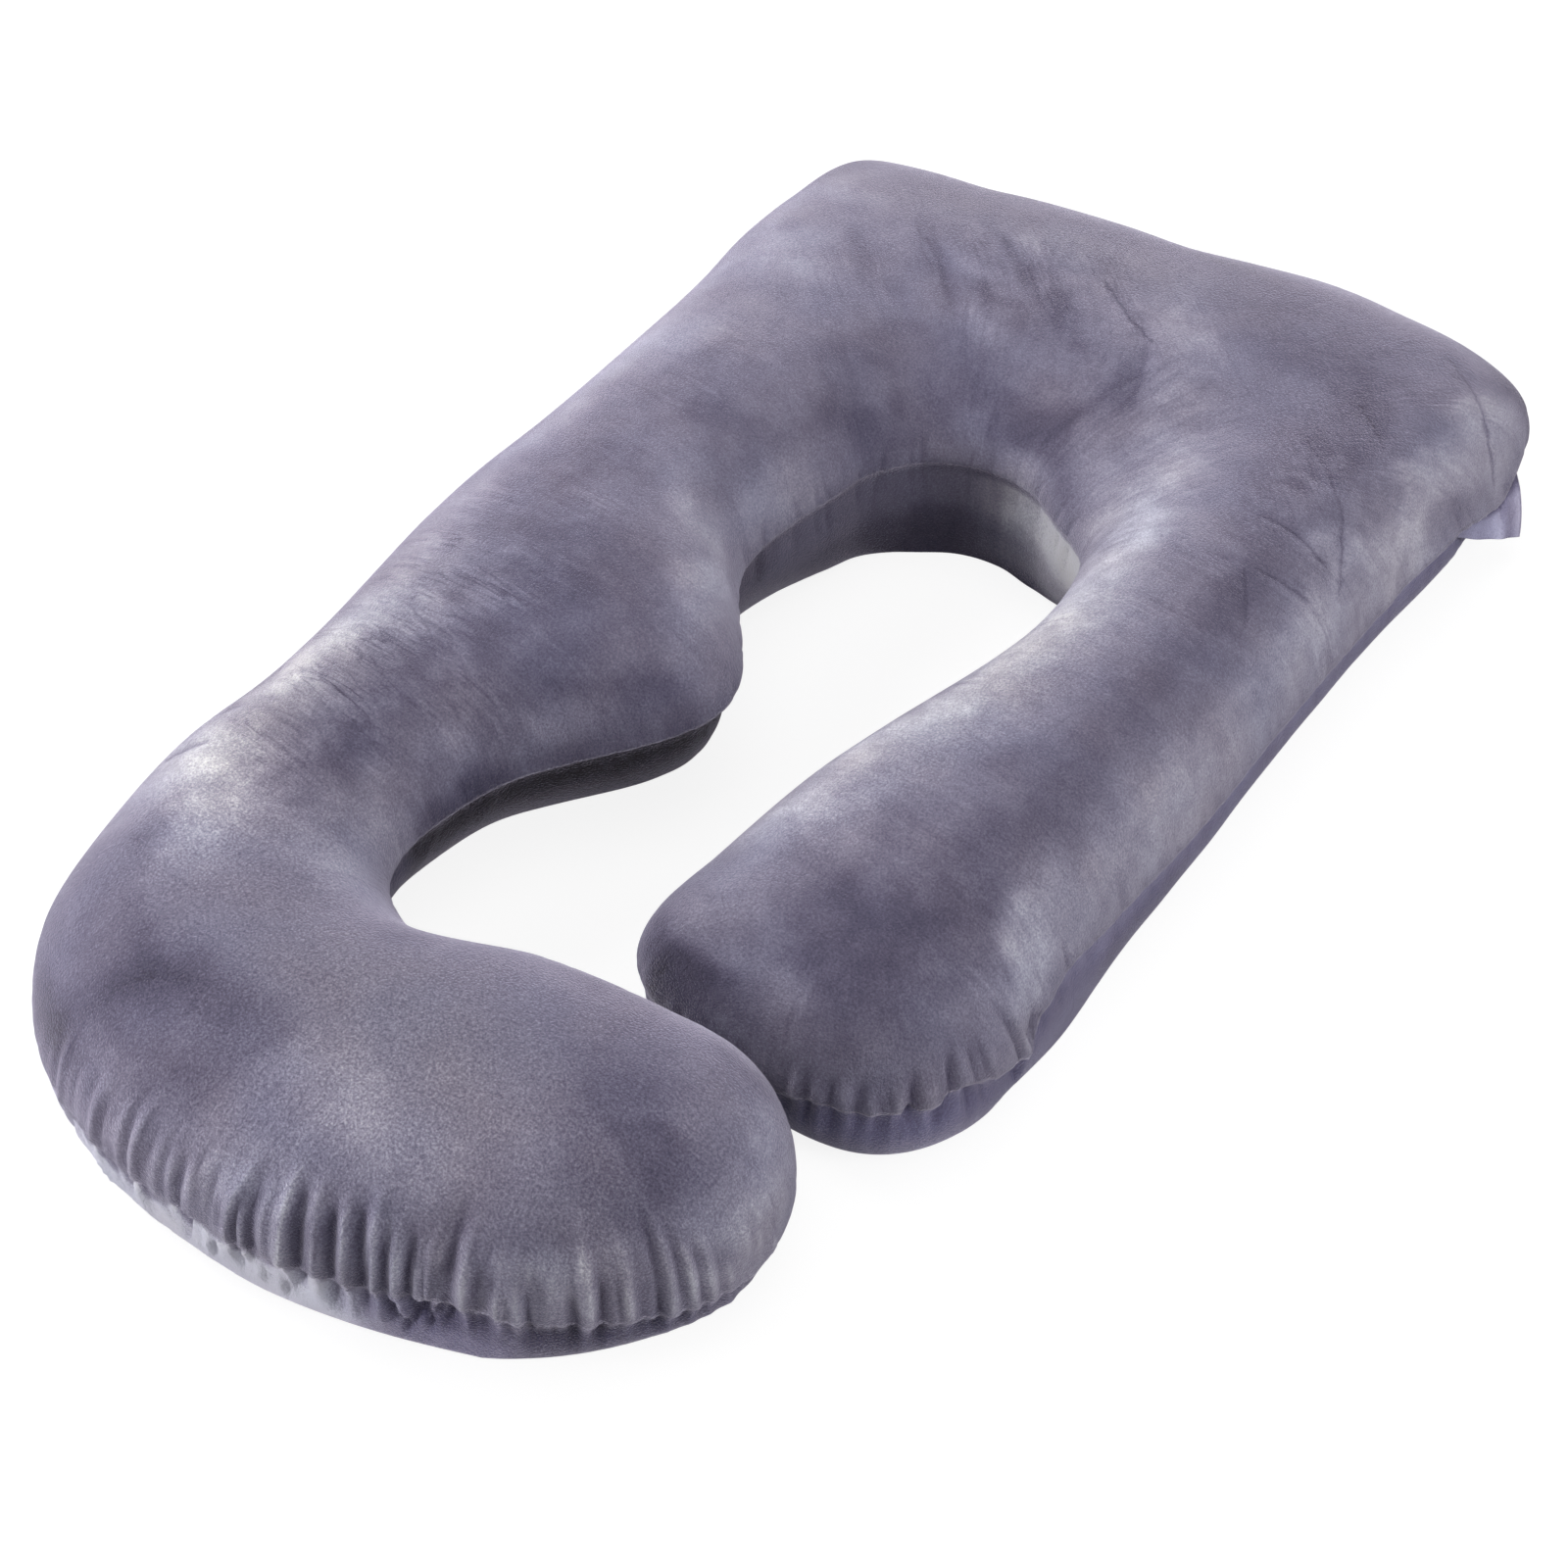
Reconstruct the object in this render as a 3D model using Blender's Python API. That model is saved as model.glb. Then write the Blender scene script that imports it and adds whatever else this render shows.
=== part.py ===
# Pregnancy pillow: a long filled body pillow that bends round on itself like a letter G,
# in a plush cover of an upper and a lower panel with one seam all round.
# Metres, +Z up. The head end is towards +Y, the hooked end towards -Y, and it lies on z = 0.
import math
from collections import namedtuple

import bmesh
import bpy
import numpy as np

CM = 0.01                     # the tables below are in centimetres
BOX_MIDDLE = (1.3, 2.3)       # middle of the whole outline in the tables, moved to the origin

# The round hollow for the head and neck
HOLLOW_MIDDLE = (1.5, 18.8)
HOLLOW_RADIUS = 10.5

# Fullness of the cross-section: 2 is an ellipse, more is squarer
UPPER_FULLNESS = 2.3
LOWER_FULLNESS = 2.4

# The seam is drawn in between the two panels
SEAM_DEPTH = 0.003

# Facets: steps between two sections, steps round each end, and the profile's rings in degrees
# from the seam, up to the crown and down to the ground
SECTION_STEPS = 6
END_STEPS = 12
UPPER_RINGS = (2.3, 8, 16, 25, 35, 46, 58, 70, 80, 90)
LOWER_RINGS = (2.5, 12, 28, 48, 70, 90)

# The loose corner of the cover: its first and last step along the outline, and its sheet
FLAP_FIRST = 29
FLAP_LAST = 33
FLAP_THICKNESS = 0.0025
FLAP_GAP = 0.0006
FLAP_ROWS = 8
FLAP_SPRING = 0.5             # below 1 it leans out first and then hangs

MERGE_DISTANCE = 0.00002


def on_hollow(degrees):
    """Plan point on the hollow's rim, in centimetres; 90 is towards the head end."""
    angle = math.radians(degrees)
    return (HOLLOW_MIDDLE[0] + HOLLOW_RADIUS * math.cos(angle),
            HOLLOW_MIDDLE[1] + HOLLOW_RADIUS * math.sin(angle))


# Sections from the end of the straight leg, round the head end, to the tip of the hook.
# outer and inner are the seam's plan points; seam is its height above the ground; foot is
# the part of the half width that rests flat; crown is the section's height.
Section = namedtuple("Section", "name outer outer_seam outer_foot inner inner_seam inner_foot crown")
SECTIONS = (
    Section("leg end", (32.8, -21.0), 6.8, 0.86, (6.4, -21.0), 7.3, 0.60, 16.1),
    Section("leg low", (32.8, -11.8), 7.0, 0.98, (8.2, -10.7), 7.8, 0.60, 17.6),
    Section("leg middle", (33.5, 0.0), 7.3, 0.76, (11.1, 0.0), 8.8, 0.65, 18.1),
    Section("leg high", (34.2, 13.7), 7.8, 0.46, (14.0, 9.6), 9.3, 0.62, 18.5),
    Section("right shoulder", (34.4, 31.3), 7.8, 0.38, (13.9, 19.4), 9.8, 0.66, 18.5),
    Section("right temple", (35.8, 50.8), 7.8, 0.42, (11.8, 24.5), 9.8, 0.76, 18.1),
    Section("right corner", (34.5, 63.8), 7.8, 0.55, on_hollow(48), 9.8, 0.92, 17.6),
    Section("right brow", (20.8, 67.6), 8.3, 0.55, on_hollow(68), 9.8, 1.00, 18.1),
    Section("head end", (0.0, 65.1), 8.8, 0.55, on_hollow(90), 9.8, 1.00, 18.1),
    Section("left brow", (-19.5, 62.8), 8.3, 0.55, on_hollow(112), 9.8, 1.00, 18.1),
    Section("left corner", (-34.6, 60.3), 7.8, 0.55, on_hollow(132), 9.8, 1.00, 17.6),
    Section("left temple", (-35.8, 49.8), 8.3, 0.55, on_hollow(152), 9.8, 0.95, 18.1),
    Section("left shoulder", (-34.4, 32.2), 8.8, 0.55, on_hollow(175), 9.8, 0.85, 18.5),
    Section("arm", (-33.8, 11.7), 8.8, 0.55, (-9.8, 6.8), 9.8, 0.46, 18.1),
    Section("belly bump", (-34.5, -5.9), 7.8, 0.55, (-2.1, -7.1), 9.8, 0.52, 18.1),
    Section("waist", (-31.9, -23.4), 7.3, 0.55, (-11.6, -22.5), 8.8, 0.38, 17.6),
    Section("turn", (-31.7, -42.2), 6.8, 0.58, (-12.9, -32.6), 8.8, 0.28, 17.3),
    Section("low turn", (-28.4, -53.6), 6.3, 0.62, (-10.8, -36.0), 8.8, 0.32, 17.2),
    Section("far turn", (-22.3, -59.4), 5.9, 0.68, (-6.6, -38.0), 8.6, 0.40, 17.0),
    Section("hook", (-2.9, -62.8), 6.6, 0.90, (4.4, -34.1), 8.0, 0.50, 17.1),
    Section("hook tip", (14.9, -57.8), 6.3, 0.98, (15.9, -32.8), 7.8, 0.55, 16.6),
)

# The rounded ends beyond the first and the last section: how far they reach, in
# centimetres, and how square they are on the outer and on the inner side
End = namedtuple("End", "reach outer_fullness inner_fullness")
LEG_END = End(11.1, 1.8, 4.0)
HOOK_END = End(12.4, 1.9, 2.0)


def clear_scene():
    for item in list(bpy.data.objects):
        bpy.data.objects.remove(item, do_unlink=True)


def unit(directions):
    """The same directions with a length of one."""
    return directions / np.linalg.norm(directions, axis=-1, keepdims=True)


def smooth_through(points, knots, at):
    """Cubic curve through the points at their knots, read at the given places."""
    gaps = np.diff(knots)[:, None]
    slopes = np.diff(points, axis=0) / gaps
    tangents = np.empty_like(points)
    tangents[1:-1] = (slopes[:-1] * gaps[1:] + slopes[1:] * gaps[:-1]) / (gaps[:-1] + gaps[1:])
    tangents[0] = 1.5 * slopes[0] - 0.5 * tangents[1]
    tangents[-1] = 1.5 * slopes[-1] - 0.5 * tangents[-2]
    piece = np.clip(np.searchsorted(knots, at, "right") - 1, 0, len(knots) - 2)
    gap = gaps[piece]
    t = (at - knots[piece])[:, None] / gap
    start = (2 * t**3 - 3 * t**2 + 1) * points[piece] + (t**3 - 2 * t**2 + t) * gap * tangents[piece]
    end = (3 * t**2 - 2 * t**3) * points[piece + 1] + (t**3 - t**2) * gap * tangents[piece + 1]
    return start + end


def all_sections():
    """Outer rows, inner rows and crowns in metres, SECTION_STEPS of them from row to row.

    An outer or inner row holds x, y, seam height and foot.
    """
    outer = np.array([(*s.outer, s.outer_seam, s.outer_foot) for s in SECTIONS])
    inner = np.array([(*s.inner, s.inner_seam, s.inner_foot) for s in SECTIONS])
    crown = np.array([s.crown for s in SECTIONS]) * CM
    for side in (outer, inner):
        side[:, :2] -= BOX_MIDDLE
        side[:, :3] *= CM
    rows = np.column_stack((outer, inner, crown))
    middles = (rows[:, 0:2] + rows[:, 4:6]) / 2
    knots = np.concatenate(([0.0], np.cumsum(np.linalg.norm(np.diff(middles, axis=0), axis=1))))
    steps = np.arange(SECTION_STEPS * (len(rows) - 1) + 1) / SECTION_STEPS
    places = np.interp(steps, np.arange(len(rows)), knots)
    rows = smooth_through(rows, knots, places)
    return rows[:, 0:4], rows[:, 4:8], rows[:, 8]


def end_rows(one_side, other_side, end):
    """Rows round a blunt end, from the last row of one side to the last row of the other.

    Each half of the end sets off the way its side was going, so no kink shows there.
    """
    start, finish = one_side[-1], other_side[-1]
    ahead_start = unit(start[:2] - one_side[-2, :2])
    ahead_finish = unit(finish[:2] - other_side[-2, :2])
    middle = (start[:2] + finish[:2]) / 2
    share = np.arange(1, END_STEPS) / END_STEPS
    turn = math.pi * share
    power = 2 / (end.outer_fullness + (end.inner_fullness - end.outer_fullness) * share)
    across = np.sign(np.cos(turn)) * np.abs(np.cos(turn)) ** power
    along = np.sin(turn) ** power * end.reach * CM
    ahead = unit(ahead_start + np.outer(share, ahead_finish - ahead_start))
    plan = middle + np.outer(across, start[:2] - middle) + ahead * along[:, None]
    rest = start[2:] + np.outer(share, finish[2:] - start[2:])
    return np.column_stack((plan, rest))


def closed_outline():
    """Rim rows, spine points and crowns all the way round, anticlockwise from the leg."""
    outer, inner, crown = all_sections()
    spine = (outer[:, :2] + inner[:, :2]) / 2
    hook = end_rows(outer, inner, HOOK_END)
    leg = end_rows(outer[::-1], inner[::-1], LEG_END)[::-1]
    rim = np.concatenate((outer, hook, inner[::-1], leg))
    at_hook = np.full(len(hook), len(spine) - 1)
    at_leg = np.zeros(len(leg), dtype=int)
    order = np.arange(len(spine))
    order = np.concatenate((order, at_hook, order[::-1], at_leg))
    return rim, spine[order], crown[order]


def ring(rim, spine, reach, heights):
    """One ring of points, at a share of the way from the spine to the rim."""
    plan = spine + (rim[:, :2] - spine) * np.reshape(reach, (-1, 1))
    return np.column_stack((plan, np.broadcast_to(heights, len(rim))))


def seam_ring(rim, spine):
    """The seam itself, drawn in from the rim towards the spine."""
    seam = ring(rim, spine, 1.0, rim[:, 2])
    seam[:, :2] -= unit(rim[:, :2] - spine) * SEAM_DEPTH
    return seam


def pillow_rings(rim, spine, crown):
    """Rings from the middle of the flat base, out to the seam and up to the crown."""
    seam, foot = rim[:, 2], rim[:, 3]
    rings = [ring(rim, spine, 0.0, 0.0)]
    for degrees in reversed(LOWER_RINGS):
        angle = math.radians(degrees)
        reach = foot + (1 - foot) * max(math.cos(angle), 0.0) ** (2 / LOWER_FULLNESS)
        rings.append(ring(rim, spine, reach, seam * (1 - math.sin(angle) ** (2 / LOWER_FULLNESS))))
    rings.append(seam_ring(rim, spine))
    for degrees in UPPER_RINGS:
        angle = math.radians(degrees)
        reach = max(math.cos(angle), 0.0) ** (2 / UPPER_FULLNESS)
        rise = math.sin(angle) ** (2 / UPPER_FULLNESS)
        rings.append(ring(rim, spine, reach, seam + (crown - seam) * rise))
    return np.array(rings)


def new_object(name, points, faces, material):
    mesh = bpy.data.meshes.new(name)
    work = bmesh.new()
    corners = [work.verts.new(point) for point in points]
    for face in faces:
        work.faces.new([corners[i] for i in face])
    bmesh.ops.remove_doubles(work, verts=work.verts, dist=MERGE_DISTANCE)
    bmesh.ops.recalc_face_normals(work, faces=work.faces)
    work.to_mesh(mesh)
    work.free()
    mesh.shade_smooth()
    mesh.materials.append(material)
    item = bpy.data.objects.new(name, mesh)
    bpy.context.scene.collection.objects.link(item)
    return item


def plush(name, colour):
    """Short-pile plush: a rough cloth with a soft sheen."""
    material = bpy.data.materials.new(name)
    material.use_nodes = True
    shader = material.node_tree.nodes["Principled BSDF"]
    shader.inputs["Base Color"].default_value = (*colour, 1.0)
    shader.inputs["Roughness"].default_value = 0.9
    shader.inputs["Metallic"].default_value = 0.0
    shader.inputs["Sheen Weight"].default_value = 0.3
    return material


def grid_faces(rows, columns, closed):
    """Quads of a grid of points, row after row; closed joins the last column to the first."""
    faces = []
    for r in range(rows - 1):
        for c in range(columns if closed else columns - 1):
            n = (c + 1) % columns
            faces.append((r * columns + c, r * columns + n, (r + 1) * columns + n, (r + 1) * columns + c))
    return faces


def make_pillow(rim, spine, crown):
    rings = pillow_rings(rim, spine, crown)
    faces = grid_faces(len(rings), len(rim), closed=True)
    return new_object("pillow", rings.reshape(-1, 3), faces, plush("plush", (0.19, 0.17, 0.23)))


# Loose corner of the cover, hanging from the seam as a soft triangle: how far each column
# hangs down, how far it leans out and how far it slides back along the seam
Fold = namedtuple("Fold", "drop lean slide")
FLAP_COLUMNS = (
    Fold(0.7, 0.8, 0.0),
    Fold(2.3, 1.4, 0.6),
    Fold(3.6, 2.0, 1.2),
    Fold(4.6, 2.4, 1.8),
    Fold(5.1, 2.6, 2.2),
)


def make_corner_flap(rim, spine):
    """A sheet from under the seam that leans out quickly and then hangs."""
    span = slice(FLAP_FIRST, FLAP_LAST + 1)
    top = seam_ring(rim, spine)[span]
    ahead = unit(rim[FLAP_FIRST + 1:FLAP_LAST + 2, :2] - rim[FLAP_FIRST - 1:FLAP_LAST, :2])
    out = np.column_stack((ahead[:, 1], -ahead[:, 0]))
    drop, lean, slide = np.array(FLAP_COLUMNS).T * CM
    sheets = []
    for gap in (FLAP_GAP, FLAP_GAP + FLAP_THICKNESS):
        sheet = []
        for v in np.linspace(0.0, 1.0, FLAP_ROWS):
            reach = gap + lean * v ** FLAP_SPRING
            plan = top[:, :2] + out * reach[:, None] - ahead * (slide * v)[:, None]
            sheet.append(np.column_stack((plan, top[:, 2] - drop * v)))
        sheets.append(np.array(sheet))
    return sheet_between(*sheets)


def sheet_between(inner, outer):
    """A closed sheet between two matching grids of points."""
    rows, columns = inner.shape[:2]
    half = rows * columns
    faces = [tuple(reversed(face)) for face in grid_faces(rows, columns, closed=False)]
    faces += [tuple(i + half for i in reversed(face)) for face in faces]
    border = list(range(columns))
    border += [r * columns + columns - 1 for r in range(1, rows)]
    border += [(rows - 1) * columns + c for c in range(columns - 2, -1, -1)]
    border += [r * columns for r in range(rows - 2, 0, -1)]
    for a, b in zip(border, border[1:] + border[:1]):
        faces.append((a, b, b + half, a + half))
    points = np.concatenate((inner.reshape(-1, 3), outer.reshape(-1, 3)))
    return new_object("corner_flap", points, faces, plush("flap plush", (0.21, 0.19, 0.25)))


clear_scene()
rim, spine, crown = closed_outline()
make_pillow(rim, spine, crown)
make_corner_flap(rim, spine)
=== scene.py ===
import math

import bmesh
import bpy
import numpy as np
from mathutils import Matrix, Vector


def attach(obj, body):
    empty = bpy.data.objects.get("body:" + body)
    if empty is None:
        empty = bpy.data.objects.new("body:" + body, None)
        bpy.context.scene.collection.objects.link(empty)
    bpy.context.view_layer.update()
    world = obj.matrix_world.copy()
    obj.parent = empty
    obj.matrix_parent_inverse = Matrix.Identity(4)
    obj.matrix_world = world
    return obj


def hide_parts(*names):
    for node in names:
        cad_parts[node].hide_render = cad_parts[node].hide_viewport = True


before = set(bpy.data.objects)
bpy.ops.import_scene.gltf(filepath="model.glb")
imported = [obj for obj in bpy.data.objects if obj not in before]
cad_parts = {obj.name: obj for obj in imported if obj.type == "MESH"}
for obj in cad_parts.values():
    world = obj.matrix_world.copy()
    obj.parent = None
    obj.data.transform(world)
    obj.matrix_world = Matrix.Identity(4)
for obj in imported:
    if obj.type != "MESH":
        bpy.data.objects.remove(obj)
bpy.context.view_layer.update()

cm = 0.01
mm = 0.001

# The pillow's form, one row per section from the straight leg's end round to the hook's tip, in cm:
# outer x, y, seam height, foot, inner x, y, seam height, foot, crown height.
# Foot is the part of the half width that lies flat; round the hollow an angle stands for x, y.
pillow = {
    "boxMiddle": (1.3, 2.3),
    "hollow": (1.5, 18.8, 10.5),  # x, y and radius of the round head hollow
    "sections": {
        "leg end": (32.8, -21.0, 6.8, 0.86, 6.4, -21.0, 7.3, 0.60, 16.1),
        "leg low": (32.8, -11.8, 7.0, 0.98, 8.2, -10.7, 7.8, 0.60, 17.6),
        "leg middle": (33.5, 0.0, 7.3, 0.76, 11.1, 0.0, 8.8, 0.65, 18.1),
        "leg high": (34.2, 13.7, 7.8, 0.46, 14.0, 9.6, 9.3, 0.62, 18.5),
        "right shoulder": (34.4, 31.3, 7.8, 0.38, 13.9, 19.4, 9.8, 0.66, 18.5),
        "right temple": (35.8, 50.8, 7.8, 0.42, 11.8, 24.5, 9.8, 0.76, 18.1),
        "right corner": (34.5, 63.8, 7.8, 0.55, 48, None, 9.8, 0.92, 17.6),
        "right brow": (20.8, 67.6, 8.3, 0.55, 68, None, 9.8, 1.00, 18.1),
        "head end": (0.0, 65.1, 8.8, 0.55, 90, None, 9.8, 1.00, 18.1),
        "left brow": (-19.5, 62.8, 8.3, 0.55, 112, None, 9.8, 1.00, 18.1),
        "left corner": (-34.6, 60.3, 7.8, 0.55, 132, None, 9.8, 1.00, 17.6),
        "left temple": (-35.8, 49.8, 8.3, 0.55, 152, None, 9.8, 0.95, 18.1),
        "left shoulder": (-34.4, 32.2, 8.8, 0.55, 175, None, 9.8, 0.85, 18.5),
        "arm": (-33.8, 11.7, 8.8, 0.55, -9.8, 6.8, 9.8, 0.46, 18.1),
        "belly bump": (-34.5, -5.9, 7.8, 0.55, -2.1, -7.1, 9.8, 0.52, 18.1),
        "waist": (-31.9, -23.4, 7.3, 0.55, -11.6, -22.5, 8.8, 0.38, 17.6),
        "turn": (-31.7, -42.2, 6.8, 0.58, -12.9, -32.6, 8.8, 0.28, 17.3),
        "low turn": (-28.4, -53.6, 6.3, 0.62, -10.8, -36.0, 8.8, 0.32, 17.2),
        "far turn": (-22.3, -59.4, 5.9, 0.68, -6.6, -38.0, 8.6, 0.40, 17.0),
        "hook": (-2.9, -62.8, 6.6, 0.90, 4.4, -34.1, 8.0, 0.50, 17.1),
        "hook tip": (14.9, -57.8, 6.3, 0.98, 15.9, -32.8, 7.8, 0.55, 16.6),
    },
    "legEnd": (11.1, 1.8, 4.0),  # reach, and fullness on the outer and the inner side
    "hookEnd": (12.4, 1.9, 2.0),
    "upperFullness": 2.3,
    "lowerFullness": 2.4,
    # columns between one section and the next, more where the cloth gathers
    "columns": (30, 34, 38, 46, 48, 34, 30, 36, 34, 28, 24, 34, 40, 36, 36, 38, 36, 34, 76, 72),
    "endColumns": 120,
    "upperRows": (40, 1.9),  # how many, and how much wider the last step is than the first
    "lowerRows": (12, 2.2),
    "baseRows": 2,
    "crownEase": (0.5, 4.0),  # cm from the crown line over which the sides' own directions come in
    "typicalSection": (17.0, 10.5, 7.0, 7.5),  # half width and rise above the seam, then below it
}


def unit(directions):
    return directions / np.maximum(np.linalg.norm(directions, axis=-1, keepdims=True), 1e-12)


def smoothStep(value, low, high):
    share = np.clip((value - low) / (high - low), 0, 1)
    return share * share * (3 - 2 * share)


def smoothThrough(points, knots, at):
    # cubic through the points: tangents are the weighted mean of the slopes on either side
    gaps = np.diff(knots)[:, None]
    slopes = np.diff(points, axis=0) / gaps
    tangents = np.empty_like(points)
    tangents[1:-1] = (slopes[:-1] * gaps[1:] + slopes[1:] * gaps[:-1]) / (gaps[:-1] + gaps[1:])
    tangents[0] = 1.5 * slopes[0] - 0.5 * tangents[1]
    tangents[-1] = 1.5 * slopes[-1] - 0.5 * tangents[-2]
    piece = np.clip(np.searchsorted(knots, at, "right") - 1, 0, len(knots) - 2)
    gap = gaps[piece]
    t = (at - knots[piece])[:, None] / gap
    start = (2 * t**3 - 3 * t**2 + 1) * points[piece] + (t**3 - 2 * t**2 + t) * gap * tangents[piece]
    end = (3 * t**2 - 2 * t**3) * points[piece + 1] + (t**3 - t**2) * gap * tangents[piece + 1]
    return start + end


def sectionRows():
    # the table in metres, hollow angles worked out, read at every column's section number
    rows = []
    middleX, middleY, radius = pillow["hollow"]
    for row in pillow["sections"].values():
        row = list(row)
        if row[5] is None:
            angle = math.radians(row[4])
            row[4] = middleX + radius * math.cos(angle)
            row[5] = middleY + radius * math.sin(angle)
        rows.append(row)
    rows = np.array(rows, float)
    rows[:, [0, 4]] -= pillow["boxMiddle"][0]
    rows[:, [1, 5]] -= pillow["boxMiddle"][1]
    rows[:, [0, 1, 2, 4, 5, 6, 8]] *= cm
    middles = (rows[:, 0:2] + rows[:, 4:6]) / 2
    knots = np.concatenate(([0.0], np.cumsum(np.linalg.norm(np.diff(middles, axis=0), axis=1))))
    counts = pillow["columns"]
    numbers = np.concatenate([i + np.arange(n) / n for i, n in enumerate(counts)] + [[len(counts)]])
    dense = smoothThrough(rows, knots, np.interp(numbers, np.arange(len(rows)), knots))
    return dense[:, 0:4], dense[:, 4:8], dense[:, 8]


def endRows(oneSide, otherSide, end):
    # half a superellipse round an end; each half sets off the way its side was going
    reach, outerFullness, innerFullness = end
    start, finish = oneSide[-1], otherSide[-1]
    aheadStart = unit(start[:2] - oneSide[-2, :2])
    aheadFinish = unit(finish[:2] - otherSide[-2, :2])
    middle = (start[:2] + finish[:2]) / 2
    share = np.arange(1, pillow["endColumns"]) / pillow["endColumns"]
    turn = math.pi * share
    power = 2 / (outerFullness + (innerFullness - outerFullness) * share)
    across = np.sign(np.cos(turn)) * np.abs(np.cos(turn)) ** power
    along = np.sin(turn) ** power * reach * cm
    ahead = unit(aheadStart + np.outer(share, aheadFinish - aheadStart))
    plan = middle + np.outer(across, start[:2] - middle) + ahead * along[:, None]
    rest = start[2:] + np.outer(share, finish[2:] - start[2:])
    return np.column_stack((plan, rest))


def closedOutline():
    # rim rows (x, y, seam, foot), spine points and crowns, anticlockwise from the straight leg
    outer, inner, crown = sectionRows()
    spine = (outer[:, :2] + inner[:, :2]) / 2
    hook = endRows(outer, inner, pillow["hookEnd"])
    leg = endRows(outer[::-1], inner[::-1], pillow["legEnd"])[::-1]
    rim = np.concatenate((outer, hook, inner[::-1], leg))
    order = np.arange(len(spine))
    order = np.concatenate((order, np.full(len(hook), len(spine) - 1), order[::-1],
                            np.zeros(len(leg), int)))
    return rim, spine[order], crown[order]


def girthAngles(rows, fullness, width, rise):
    # angles that divide a typical section's girth into steps growing evenly from first to last
    count, growth = rows
    dense = np.linspace(0, math.pi / 2, 2001)
    out = width * np.cos(dense).clip(0) ** (2 / fullness)
    up = rise * np.sin(dense) ** (2 / fullness)
    girth = np.concatenate(([0.0], np.cumsum(np.hypot(np.diff(out), np.diff(up)))))
    share = np.arange(1, count + 1) / count
    share = (share + (growth - 1) / 2 * share**2) / (1 + (growth - 1) / 2)
    return np.interp(share * girth[-1], girth, dense)


def pillowGrid(rim, spine, crown):
    # points[row, column]: base middle, ground ring, wall, seam, then up to the crown
    # reach = cos(angle)^(2/fullness) of the half width, rise = sin(angle)^(2/fullness)
    seam, foot = rim[:, 2], rim[:, 3]
    arm = rim[:, :2] - spine
    width, rise, lowerWidth, drop = pillow["typicalSection"]
    rows = []
    for share in np.arange(pillow["baseRows"]) / pillow["baseRows"]:
        rows.append(np.column_stack((spine + arm * (foot * share)[:, None], np.zeros(len(rim)))))
    power = 2 / pillow["lowerFullness"]
    for angle in girthAngles(pillow["lowerRows"], pillow["lowerFullness"], lowerWidth, drop)[::-1]:
        reach = foot + (1 - foot) * max(math.cos(angle), 0) ** power
        rows.append(np.column_stack((spine + arm * reach[:, None], seam * (1 - math.sin(angle) ** power))))
    rows.append(np.column_stack((rim[:, :2], seam)))
    power = 2 / pillow["upperFullness"]
    for angle in girthAngles(pillow["upperRows"], pillow["upperFullness"], width, rise):
        reach = max(math.cos(angle), 0) ** power
        rows.append(np.column_stack((spine + arm * reach, seam + (crown - seam) * math.sin(angle) ** power)))
    return np.array(rows)


def clothPlaces(points, seamRow):
    # cm along the seam for every column, and cm across from the seam for every point
    along = np.concatenate(([0.0], np.cumsum(np.linalg.norm(np.diff(points[seamRow, :, :2], axis=0), axis=1))))
    length = along[-1] + np.linalg.norm(points[seamRow, 0, :2] - points[seamRow, -1, :2])
    steps = np.linalg.norm(np.diff(points, axis=0), axis=2)
    across = np.concatenate((np.zeros((1, points.shape[1])), np.cumsum(steps, axis=0)))
    across -= across[seamRow]
    return np.broadcast_to(along, across.shape) / cm, across / cm, length / cm


def planPlaces(points):
    return points[..., 0] / cm, points[..., 1] / cm


def gridNormals(points, top):
    # cross product of the two central differences, turning straight up towards the crown line
    alongSeam = np.roll(points, -1, axis=1) - np.roll(points, 1, axis=1)
    acrossIt = np.gradient(points, axis=0)
    normal = np.cross(alongSeam, acrossIt)
    normal /= np.maximum(np.linalg.norm(normal, axis=2, keepdims=True), 1e-12)
    share = smoothStep(top, *pillow["crownEase"])[..., None]
    return unit(normal * share + np.array((0, 0, 1)) * (1 - share))


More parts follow.
